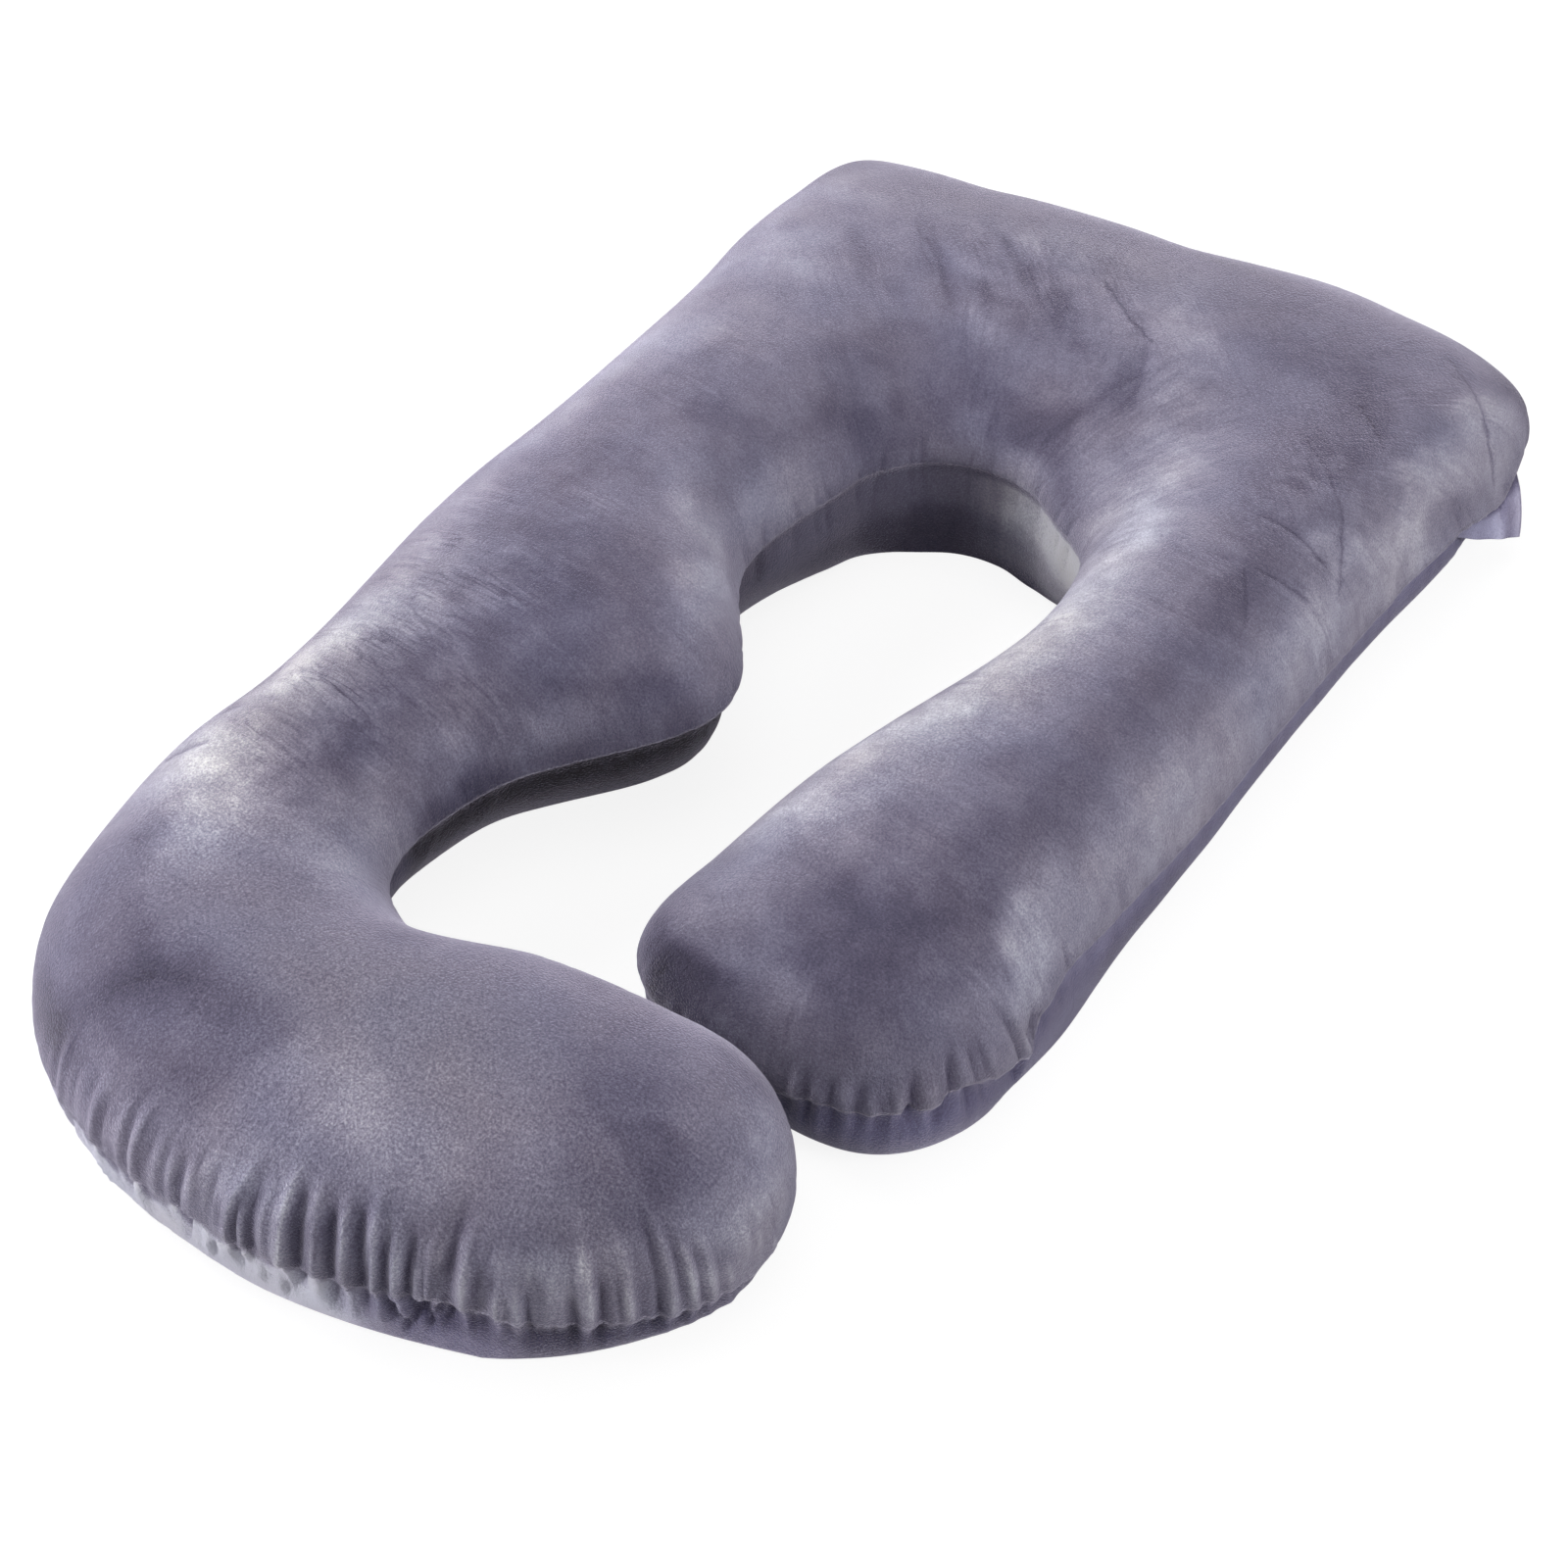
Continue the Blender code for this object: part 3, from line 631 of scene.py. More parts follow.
def attribute(tree, name, output="Fac"):
    return put(tree, "ShaderNodeAttribute", attribute_name=name).outputs[output]


def mixed(tree, share, a, b):
    return put(tree, "ShaderNodeMix", {0: share, 2: a, 3: b}).outputs[0]


def groupAt(tree, group, vector, **values):
    # a group at work in a material, its single values set on its own sockets
    return put(tree, "ShaderNodeGroup", {"Vector": vector, **values}, node_tree=group).outputs


def signedNoise(tree, vector, scale, detail, roughness=0.55, distortion=0.0):
    # noise spread to about -1 to 1
    noise = put(tree, "ShaderNodeTexNoise", {"Vector": vector, "Scale": scale, "Detail": detail,
                                             "Roughness": roughness, "Distortion": distortion})
    return timesPlus(tree, noise.outputs["Fac"], 4.0, -2.0)


def grainGroup():
    # short pile: fine tufts, each lighter or darker than the next, and their height
    group, given, result = newGroup("plushGrain", {"Vector": None, "Size": 0.003}, ("Level", "Height"))
    scale = maths(group, "DIVIDE", 1.0, given["Size"])
    coarse = signedNoise(group, given["Vector"], scale, 1.0, 0.7)
    fine = signedNoise(group, given["Vector"], times(group, scale, 2.7), 1.0)
    group.links.new(timesPlus(group, fine, 0.45, coarse), result["Level"])
    group.links.new(timesPlus(group, fine, 0.6, coarse), result["Height"])
    return group


def brushGroup():
    # strokes left by a hand or a brush: noise drawn out along the third axis, broken by a coarser one
    group, given, result = newGroup("plushBrush", {"Vector": None, "Width": 0.006, "Length": 0.03},
                                    ("Level", "Lines"))
    narrow = maths(group, "DIVIDE", 1.0, given["Width"])
    long = maths(group, "DIVIDE", 1.0, given["Length"])
    scale = put(group, "ShaderNodeCombineXYZ", {0: narrow, 1: narrow, 2: long}).outputs[0]
    drawn = vectorMaths(group, "MULTIPLY", given["Vector"], scale)
    strokes = signedNoise(group, drawn, 1.0, 3.0, 0.7, 0.4)
    where = mapped(group, signedNoise(group, drawn, 0.22, 1.0), -0.5, 0.9, 0.15, 1.0)
    group.links.new(times(group, strokes, where), result["Level"])
    # thin lines where a second noise passes through 0
    thin = maths(group, "ABSOLUTE", signedNoise(group, drawn, 0.6, 1.5, 0.5, 0.6))
    lines = mapped(group, thin, 0.0, 0.2, 1.0, 0.0, "SMOOTHSTEP")
    group.links.new(times(group, lines, where), result["Lines"])
    return group


def mottleGroup():
    # cloudy patches where the pile has been pressed one way or the other
    group, given, result = newGroup("plushMottle", {"Vector": None, "Large": 0.07, "Small": 0.022}, ("Level",))
    large = signedNoise(group, given["Vector"], maths(group, "DIVIDE", 1.0, given["Large"]), 3.0, 0.55)
    small = signedNoise(group, given["Vector"], maths(group, "DIVIDE", 1.0, given["Small"]), 4.0, 0.66)
    edged = mapped(group, small, -0.5, 0.5, -0.6, 0.6, "SMOOTHSTEP")
    small = timesPlus(group, edged, 0.6, times(group, small, 0.4))
    level = timesPlus(group, small, 0.6, times(group, large, 0.5))
    group.links.new(level, result["Level"])
    return group


def creaseGroup():
    # 1 along a straight line from a point in a direction, falling off as exp(-(distance / width)^2),
    # with a rounded end at either side; seen from above
    group, given, result = newGroup("creaseLine", {
        "Vector": None, "From": None, "Direction": None, "Length": 0.05, "Width": 0.002}, ("Mask",))
    offset = vectorMaths(group, "SUBTRACT", given["Vector"], given["From"])
    offset = vectorMaths(group, "MULTIPLY", offset, (1, 1, 0))  # measured in the plan
    along = vectorMaths(group, "DOT_PRODUCT", offset, given["Direction"])
    share = clamped(group, maths(group, "DIVIDE", along, given["Length"]), 0.0, 1.0)
    reach = times(group, share, given["Length"])
    nearest = vectorMaths(group, "MULTIPLY", given["Direction"],
                          put(group, "ShaderNodeCombineXYZ", {0: reach, 1: reach, 2: reach}).outputs[0])
    away = maths(group, "DIVIDE", vectorMaths(group, "DISTANCE", offset, nearest), given["Width"])
    mask = maths(group, "POWER", math.e, times(group, times(group, away, away), -1.0))
    group.links.new(mask, result["Mask"])
    return group


def toneGroup():
    # the middle colour times contrast^level; green rises and blue falls as it lightens
    group, given, result = newGroup("plushTone", {
        "Level": 0.0, "Middle": (0.5, 0.5, 0.5, 1), "Contrast": 3.0, "Hue": 0.0, "Cool": 0.0}, ("Color",))
    strength = maths(group, "POWER", given["Contrast"], clamped(group, given["Level"], -2.4, 1.3))
    level = clamped(group, given["Level"], -0.9, 1.3)
    shade = clamped(group, maths(group, "ADD", given["Level"], 1.4), -1.0, 0.0)  # below 0 in the darkest tones, mostly painted shade, which it makes less green and blue
    red = maths(group, "ADD", given["Hue"], timesPlus(group, level, -0.015, 1.0))
    green = timesPlus(group, shade, 0.12, timesPlus(group, level, 0.045, 1.0))
    blue = maths(group, "SUBTRACT", timesPlus(group, level, -0.15, 0.985), given["Hue"])
    blue = timesPlus(group, shade, 0.42, maths(group, "ADD", blue, given["Cool"]))
    tint = [times(group, strength, part) for part in (red, green, blue)]
    tint = put(group, "ShaderNodeCombineXYZ", dict(enumerate(tint))).outputs[0]
    group.links.new(vectorMaths(group, "MULTIPLY", given["Middle"], tint), result["Color"])
    return group


grain, brush, mottle, crease, tone = grainGroup(), brushGroup(), mottleGroup(), creaseGroup(), toneGroup()


def creaseMask(tree, places):
    # painted shade in the sharp creases: the strongest of all the lines, two straight pieces each, wavering a little
    waver = signedNoise(tree, places, 60.0, 2.0)
    waver = times(tree, waver, plush["creaseWaver"] * mm)
    places = vectorMaths(tree, "ADD", places, put(tree, "ShaderNodeCombineXYZ", {0: waver, 1: waver}).outputs[0])
    total = None
    lines = [(*row[2:5], *row[5]) for row in relief["creases"] if len(row) > 5]
    for first, middle, last, width, strength in lines + list(plush["creaseLines"]):
        for start, end in ((first, middle), (middle, last)):
            gap = Vector((end[0] - start[0], end[1] - start[1], 0)) * cm
            line = groupAt(tree, crease, places, From=(start[0] * cm, start[1] * cm, 0),
                           Direction=gap.normalized(), Length=gap.length, Width=width * mm)
            scaled = times(tree, line["Mask"], strength)
            total = scaled if total is None else maths(tree, "MAXIMUM", total, scaled)
    above = put(tree, "ShaderNodeSeparateXYZ", {0: places}).outputs["Z"]
    return times(tree, total, mapped(tree, above, *plush["creasesAbove"]))


def brushMarks(tree, places, flank):
    # strokes across the seam on the flanks; on top one way in the plan at the legs, another at the head
    width, length = (size * mm for size in plush["brushSize"])
    onTop = []
    for turn in plush["brushTurns"]:
        turned = put(tree, "ShaderNodeMapping", {"Vector": places, "Rotation": (0, 0, -math.radians(turn))})
        turned = put(tree, "ShaderNodeSeparateXYZ", {0: turned.outputs[0]}).outputs
        turned = put(tree, "ShaderNodeCombineXYZ", {0: turned["Y"], 1: turned["Z"], 2: turned["X"]}).outputs[0]
        onTop.append(groupAt(tree, brush, turned, Width=width, Length=length))
    atLegs, atHead = onTop
    onFlank = groupAt(tree, brush, attribute(tree, "cloth", "Vector"), Width=width, Length=length)
    headShare = mapped(tree, put(tree, "ShaderNodeSeparateXYZ", {0: places}).outputs["Y"], *plush["headBegins"])
    return [mixed(tree, flank, mixed(tree, headShare, atLegs[kind], atHead[kind]), onFlank[kind])
            for kind in ("Level", "Lines")]


def newMaterial(name, values):
    # single values set on the shader's own sockets
    material = bpy.data.materials.new(name)
    material.use_nodes = True
    shader = material.node_tree.nodes["Principled BSDF"]
    for socketName, value in values.items():
        shader.inputs[socketName].default_value = value
    return material, material.node_tree, shader


def plushMaterial(name, mottling=0.34, brushing=0.46, graining=0.33, creased=False):
    material, tree, shader = newMaterial(name, plush["surface"])
    places = put(tree, "ShaderNodeTexCoord").outputs["Object"]
    napLightAndShade, stroked = attribute(tree, "napLightAndShade"), attribute(tree, "stroked")
    large, small = (size * mm for size in plush["mottleSize"])
    tufts = groupAt(tree, grain, places, Size=plush["grainSize"] * mm)
    clouds = groupAt(tree, mottle, places, Large=large, Small=small)
    brushed, combed = brushMarks(tree, places, attribute(tree, "flank"))
    brushed = times(tree, brushed, stroked)
    combed = times(tree, combed, mapped(tree, stroked, *plush["combed"]))
    # patches are broken up more the further they are from the middle tone
    everywhere, byTone, byStrokes = plush["mottled"]
    share = timesPlus(tree, maths(tree, "ABSOLUTE", napLightAndShade), byTone, everywhere)
    share = timesPlus(tree, stroked, byStrokes, share)
    level = timesPlus(tree, times(tree, clouds["Level"], share), mottling, napLightAndShade)
    # the strongest strokes leave dark marks with sharper edges
    begin, full, dark = plush["marks"]
    level = maths(tree, "ADD", level, mapped(tree, brushed, begin, full, 0.0, dark, "SMOOTHSTEP"))
    level = timesPlus(tree, combed, -plush["combedDepth"], level)
    level = timesPlus(tree, brushed, brushing, level)
    tufted = times(tree, tufts["Level"], attribute(tree, "grained"))
    level = timesPlus(tree, tufted, graining, level)
    ofStrokes, ofTufts = plush["heights"]
    height = timesPlus(tree, brushed, ofStrokes, times(tree, tufts["Height"], ofTufts))
    # painted shade along the sharp creases
    if creased:
        level = timesPlus(tree, creaseMask(tree, places), -plush["creaseShade"], level)
    hue = times(tree, signedNoise(tree, places, plush["hueScale"], 1.0), plush["hueWander"])
    colours = put(tree, "ShaderNodeGroup", {
        "Level": level, "Hue": hue, "Cool": attribute(tree, "cool"), "Middle": plush["middle"],
        "Contrast": plush["contrast"]}, node_tree=tone)
    tree.links.new(colours.outputs["Color"], shader.inputs["Base Color"])
    bump = put(tree, "ShaderNodeBump", {"Height": height, "Strength": plush["bump"], "Distance": mm})
    tree.links.new(bump.outputs["Normal"], shader.inputs["Normal"])
    return material


# Soft patches lighter (above 0) or darker, partly how the pile lies and partly painted light on slopes and painted
# shade, in plan cm:
# x, y, long radius, short radius, turn in degrees, level.
napLightAndShadePatches = (
    # straight leg
    (15.0, 20, 9, 3.6, 97, 0.8), (16.0, 7, 8, 3.2, 88, 0.8), (13.0, -6, 8, 3.0, 74, 0.85),
    (9.5, -18, 6, 3.0, 72, 0.8), (18.5, 8, 15, 4.5, 88, 0.25), (12.0, 33, 7, 3.0, 118, 0.3),
    (9.5, 42, 6, 3.5, 118, 0.15), (8, 28.5, 4, 2.6, -40, 0.45), (19.5, 16, 6, 2.2, 90, 0.25),
    (30.5, -24, 3, 1.6, 80, 0.2), (24, -21, 6, 3, 90, -0.2), (17.5, -16, 2.5, 2, 0, -0.25),
    (24, 41, 8, 3.0, 100, -0.4), (26, 18, 9, 2.6, 98, -0.4), (25, 3, 8, 2.5, 92, -0.3),
    (25, -12, 8, 3.0, 90, -0.3), (21, -25, 6, 5.0, 0, -0.5), (19, -24, 2.5, 2, 0, -0.25),
    (22, -29.5, 5, 2.5, 0, -0.3), (8, -32, 3, 1.6, -30, -0.8), (28.5, -2, 7, 1.8, 92, 0.2),
    (11, -27, 4, 2.5, 0, 0.2), (10.5, -10.3, 3, 1.6, 70, 0.2), (20.3, -7, 3, 2, 60, -0.25),
    (20.5, 18.5, 3, 1.6, 60, -0.3), (22.5, 33, 4, 7, 0, -0.25), (28.5, 21.5, 3, 2.5, 0, 0.2),
    (32, 42, 2.5, 8, 0, 0.2), (15, -14, 5, 3, 60, 0.2), (19, -31, 5, 2, 0, 0.45), (20, 18, 4, 1.6, 90, 0.2),
    (17, 10, 5, 2.5, 90, -0.12), (9, 27, 4, 2.5, -40, 0.25), (27.7, -13, 1.5, 3, 0, 0.3),
    # head
    (33, 60, 2.6, 2.0, 0, -0.7), (32, 53, 4, 2.0, 80, 0.4), (-17, 55, 6, 1.8, 5, -0.35),
    (6, 57, 6, 1.8, 5, -0.4), (-5, 57.5, 4, 1.5, 5, -0.2), (24, 58, 4, 1.6, 0, -0.1),
    (-12, 56, 22, 3.0, 4, -0.35), (16, 58, 18, 3.0, 3, -0.28), (16, 50, 9, 5, 0, -0.4), (26, 46, 4, 9, 0, -0.1),
    (-32.5, 29, 4, 2.0, 90, 0.35), (-33, 41, 5, 1.6, 90, 0.25), (-16.5, 41.5, 5.5, 1.2, -45, -0.25),
    (-9.5, 44.0, 4.5, 1.1, -42, -0.3), (6, 35, 4, 2.2, -70, -0.5), (1, 29.5, 6, 2.2, 0, -0.6),
    (-2.2, 48.8, 2.6, 1.0, -40, -0.3), (-3.1, 40.4, 2.8, 1.0, -45, -0.45), (-9.8, 38.4, 2.4, 1.1, -45, -0.4),
    (-22.5, 38.2, 2.6, 1.2, -45, -0.4), (0.9, 38.5, 2.0, 0.8, -40, -0.35), (-13.5, 47.5, 2.4, 0.9, -45, -0.3),
    (-4, 34, 12, 5, 0, -0.12), (-12, 30, 4, 3, 60, 0.1), (25, 44, 8, 6, 90, -0.1), (-11, 48, 2.4, 1.6, 0, 0.25),
    (-7.5, 35.5, 2.4, 1.6, 0, 0.3), (7.5, 46, 3.5, 2.5, 100, 0.3), (1.5, 36.5, 3, 2, 0, 0.15),
    (14.5, 50, 5, 2.5, 0, 0.15), (-10, 54, 24, 3.4, 4, -0.3), (18, 56, 16, 3.4, 3, -0.3),
    (31, 45, 3, 4, 0, 0.1), (-5, 38.5, 5, 3, 0, -0.2), (-18, 51, 4, 6, 0, -0.2), (3, 57, 8, 5, 0, -0.12),
    (27, 60, 8, 2.5, 0, -0.1), (-28, 35, 6, 4.5, 80, 0.35), (-31, 47, 5, 3.0, 80, 0.3),
    (-24, 31.7, 2.5, 2, 0, 0.25), (-27.3, 46, 2.5, 2, 0, 0.25), (-15, 25.5, 5, 2.6, 70, -0.35),
    (-26, 24, 5, 2.5, 90, 0.15), (-12, 28, 3, 4, 0, 0.2), (-5, 36.5, 3, 2, 0, 0.2), (7, 36, 2, 3, 0, 0.25),
    (-19, 55, 3, 3, 0, -0.25), (3, 58, 4, 2, 0, -0.25),
    # left leg and belly
    (-22, 12, 5, 6, 0, -0.15), (-27.5, -4, 3, 5, 0, -0.12), (-20, -8, 5, 12, 0, -0.1),
    (-31, -25, 14, 2.5, 90, -0.2), (-24.5, -28, 4, 2, 90, 0.2), (-15, -26, 3, 1.5, 90, -0.2),
    (-18.5, -35, 4, 1.6, 90, 0.15), (-32, -2, 3, 2, 90, -0.2), (-11.3, 20.5, 4.5, 2.2, 75, -0.45),
    (-19, 12.5, 2.4, 1.8, 0, -0.3), (-31, 16, 8, 2.4, 90, 0.6), (-31, 4, 5, 2.0, 90, 0.4),
    (-31, -6, 6, 2.2, 90, 0.3), (-28, -18, 5, 3.0, 90, 0.4), (-27, 18, 5, 2.4, 90, 0.3),
    (-30, -13, 4, 2.2, 90, 0.3), (-24, -18, 3, 2, 0, 0.3), (-30, -34, 3, 1.6, 80, 0.3),
    (-17, -35, 4, 2, 90, 0.3), (-21, -9, 3.5, 3, 0, -0.3), (-12, -17, 3.5, 2, 50, -0.3),
    (-28, -27, 6, 2.8, 88, 0.85), (-24, 0, 7, 3.0, 90, -0.25), (-14, -9, 7, 5.0, 60, -0.35),
    (-17, -16, 5, 3.0, 80, -0.3), (-20, -24, 3, 2.6, 0, -0.1), (-23, -23.3, 4, 1.8, 5, 0.15),
    (-10.5, -19.5, 4, 2, 50, -0.35), (-26, -20, 3, 2.5, 0, 0.12), (-20, -32.5, 4.5, 2.6, 90, -0.45),
    (-13, 2, 6, 2.2, -42, 0.5), (-9.2, -4.5, 5.0, 3.0, -55, 0.65), (-7.5, -16, 3, 1.3, 50, -0.1),
    (-11.3, -20.5, 4, 1.4, 60, 0.1), (-16, -27, 2.4, 1.2, 90, 0.3), (-5, -12, 2.4, 1.2, 60, 0.2),
    (-22.4, -11, 3, 1.4, 10, 0.3), (-23.5, -21.5, 3.5, 1.0, 5, 0.3), (-26, -31, 4, 1.0, 8, 0.3),
    (-15, -35, 3, 1.5, 90, 0.25), (-6, -13, 3, 1.5, -60, 0.2),
    # hook
    (-27.5, -40, 5, 4.0, 60, 1.05), (-22, -44, 5, 3.0, -40, 0.65), (-28.5, -50, 5, 2.4, 100, 0.1),
    (-14, -41, 4.5, 3.0, 0, 0.4), (-1, -52, 16, 5, 0, 0.08), (-8, -52, 5, 3, 0, -0.1),
    (9, -37.5, 4, 1.6, 0, -0.35), (6, -44, 12, 5, 0, -0.06), (21, -47, 4, 3, 0, 0.2), (-28, -43, 3, 3, 0, -0.2),
    (-25, -53, 4, 3.5, 0, 0.15), (-14, -62, 6, 2.5, 0, -0.2), (-23, -61, 5, 1.6, -20, -0.6),
    (-13, -55, 5.5, 2.6, 0, -0.3), (-6, -41.5, 3, 1.4, 0, -0.45), (4, -57, 7, 3.2, -8, 0.35),
    (15, -45.5, 3.0, 2.4, 0, -0.4), (19, -49.5, 4.5, 3.0, -50, -0.25), (18, -38, 3, 1.3, -10, -0.5),
    (9, -37.3, 5, 1.5, 5, -0.7), (13, -41, 5, 3.0, 70, -0.2), (24, -43, 4, 2.0, 100, 0.25),
    (-6, -43, 3, 1.4, 0, -0.3),
)
# the same in cloth places, partly pile and partly painted light and shade: from and to along the seam, low and high
# across it, level
napLightAndShadeBands = (
    # upper panel
    (2, 8, 2, 8.5, 0.6), (8, 28, 1, 7.5, 0.35), (18, 26, 1, 5, 0.15), (28, 66, 1, 8, 0.3), (40, 50, 3, 7, 0.15),
    (50, 56, 7, 12, 0.3), (54, 67, 1, 6, 0.15), (63.5, 69, 1.5, 5, -0.3), (66, 72, 4, 12, 0.3),
    (72, 84, 2, 13, 0.25), (80, 84, 0, 3, 0.3), (84.5, 93, 2, 8, -0.55), (266, 284, 3, 15, -0.4),
    (275, 283, 1, 6, -0.25), (280, 286, 5, 17, -0.2), (282, 296, 9, 18, -0.25), (288, 308, 0, 7, 0.15),
    (296, 309, 1, 9, 0.12), (308, 320, 0, 6, 0.15), (321, 326, 1, 7, 0.4), (326, 340, 1, 8, 0.3),
    (331, 338, 10, 17, -0.35), (341, 346, 2, 11, 0.2), (391, 400, 0, 2, -0.6), (402, 408, 2.5, 6, 0.45),
    (410, 414, 0, 6, -0.55), (426, 431, 1, 4, -0.4), (434, 448, 1, 6, 0.35), (451, 457, 2, 14, -0.3),
    (459, 466, 0, 3, 0.5), (464, 472, 2, 9, -0.35), (531, 537, 0, 7, -0.8), (537, 549, 4, 8, -0.35),
    # lower panel, with painted shade on the walls inside the hollows and painted light on the hollow's lit wall
    (4, 70, -2.2, 0, 0.45), (14, 24, -6, -3, -0.4), (282, 308, -9, 0, 0.25), (286, 315, -9, 0, 0.75),
    (313, 325, -9, 0, -0.15), (315, 322, -9, 0, 0.45), (315, 322, -9, -4, 0.4), (338, 342, -5, -1, -0.6),
    (390, 424, -9, 0, -1.15), (438, 476, -5, 0, 0.6), (459, 476, -9, 0, 0.8), (460, 480, -9, 0, 0.2),
    (466, 476, -9, 0, 0.3), (536, 559, -9, 0, 0.2),
)
# the lower panel's level by place along the seam: its own pile, painted shade on the walls round the hollows, painted
# light below the hook's front
lowerPanel = ((0, -0.35), (60, -0.35), (80, -0.2), (200, 0.0), (262, 0.1), (276, 0.5), (308, 0.5), (312, -0.7),
              (330, -1.2), (345, -0.9), (380, -0.8), (440, -0.9), (480, -0.4), (520, -0.4), (545, -0.35))
# how much bluer the cover is: the lower panel by place along the seam, then patches of the upper one
lowerCool = ((0, 0.2), (60, 0.2), (200, 0.1), (276, 0.05), (308, 0.05), (318, 0.25), (345, 0.3), (380, 0.1),
             (430, 0.0), (500, -0.05), (545, 0.2))
coolPatches = (
    (-29, -29, 18, 7, 90, -0.09), (0, -50, 15, 7, 0, -0.05), (-10, 52, 22, 6, 0, -0.08),
    (16, 0, 16, 4, 80, -0.05),
)
# how strongly the pile is grained and stroked: patches added to an even share
grainPatches = ((0, -52, 26, 13, 0, 0.55), (-25, -42, 9, 9, 0, 0.3), (12, -6, 22, 7, 80, 0.45))
strokePatches = (
    (-24, -20, 20, 9, 90, 1.1), (-27, 25, 18, 8, 90, 0.2), (-4, 43, 16, 9, -20, 0.65), (27, 30, 24, 7, 90, 0.5),
    (12, 8, 20, 6, 85, 0.6), (0, -49, 19, 9, 0, -0.4), (20, -22, 10, 8, 0, 0.25), (-16, -46, 8, 6, 0, -0.1),
    (-13, -4, 7, 12, 0, -0.15),
)


pile = {
    "wander": ((1.3, 5.0), (0.5, 1.6)),  # how far and in what size the patches' edges wander, cm
    "gathered": (284, 290, 314, 318),  # along the seam: where it begins, is full, ebbs and ends
    "lapping": (0.18, 0.8, 0.9, 1.5, 41),  # cm for each mm of fold; cm of noise, its size along and up, seed
    "seamShade": (0.7, 0.05, 0.26, 0.6),  # painted shade just under the seam's lip: level, cm under the seam, half width cm, share lost where gathered
    "lightAndShadeByRelief": ((0.045, -7, 4), (0.19, -3.5, 2.5), (0.08, -3, 1)),  # painted light on ridges and painted shade in valleys: strength and limits in mm, for folds, their lines and creases
    "grain": 0.8,
    "strokes": 0.45,
    "strokesBelow": 0.25,  # what is left of the strokes under the seam
}


def patchSum(rows, x, y):
    # each patch is level * exp(-(r^2)^1.3) with r measured in its own radii
    total = np.zeros_like(x)
    for px, py, longRadius, shortRadius, turn, value in rows:
        c, k = math.cos(math.radians(turn)), math.sin(math.radians(turn))
        u, v = (x - px) * c + (y - py) * k, (y - py) * c - (x - px) * k
        total += value * np.exp(-((u / longRadius) ** 2 + (v / shortRadius) ** 2) ** 1.3)
    return total


def bandSum(rows, s, d, below):
    # soft-edged boxes, those below the seam or those above it; an edge at 0 is left open
    total = np.zeros_like(d)
    for first, last, low, high, value in rows:
        if (low < 0) == below:
            inside = smoothStep(s, first - 1.5, first + 1.5) * (1 - smoothStep(s, last - 1.5, last + 1.5))
            if low != 0:
                inside = inside * smoothStep(d, low - 1.2, low + 1.2)
            if high != 0:
                inside = inside * (1 - smoothStep(d, high - 1.2, high + 1.2))
            total += value * inside
    return total


# the tone level: how the pile lies, with painted light and shade from the patches, bands, seam, folds and creases
def napLightAndShadeLevel(points, seamRow, folds, foldLines, creases):
    s, d, length = clothPlaces(points, seamRow)
    x, y = planPlaces(points)
    (far, size), (near, small) = pile["wander"]
    across = far * softNoise(x / size, y / size, 31) + near * softNoise(x / small, y / small, 33)
    up = far * softNoise(x / size + 9, y / size, 32) + near * softNoise(x / small, y / small, 34)
    # where the hook is gathered the paler lower side laps up over the ridges and back under the valleys
    first, full, last, end = pile["gathered"]
    gathered = smoothStep(s, first, full) * (1 - smoothStep(s, last, end))
    byFold, ragged, along, high, seed = pile["lapping"]
    shifted = d - gathered * (byFold * np.clip(folds, -5, 5) + ragged * softNoise(s / along, d / high, seed))
    above = patchSum(napLightAndShadePatches, x + across, y + up) + bandSum(napLightAndShadeBands, s + across, d + 0.5 * up, False)
    below = tableAt(lowerPanel, s, length) + bandSum(napLightAndShadeBands, s + across, d + 0.5 * up, True)
    share = smoothStep(shifted, -0.1 - 0.9 * gathered, 0.5 * gathered)
    level = below * (1 - share) + above * share
    # painted shade just under the seam's lip
    dark, under, width, lost = pile["seamShade"]
    level -= dark * np.exp(-((d + under) / width) ** 2) * (1 - lost * gathered)
    # painted light on the ridges of folds, wrinkles and creases, painted shade in their valleys
    for values, (strength, low, high) in zip((folds, foldLines, creases), pile["lightAndShadeByRelief"]):
        level += strength * np.clip(values, low, high)
    return level


def strokeShare(points, d):
    strokes = np.clip(pile["strokes"] + patchSum(strokePatches, *planPlaces(points)), 0, 1.6)
    return strokes * np.where(d < -0.05, pile["strokesBelow"], 1.0)


def grainShare(points):
    return pile["grain"] + patchSum(grainPatches, *planPlaces(points))


def coolShare(points, s, d, length):
    return np.where(d < 0, tableAt(lowerCool, s, length), patchSum(coolPatches, *planPlaces(points)))


def roundedCloth(points, seamRow):
    # the place along the seam wound round a circle of the same length, so that patterns meet, and across
    s, d, length = clothPlaces(points, seamRow)
    turn = s / length * 2 * math.pi
    radius = length * cm / (2 * math.pi)
    return np.stack((radius * np.cos(turn), radius * np.sin(turn), d * cm), -1)


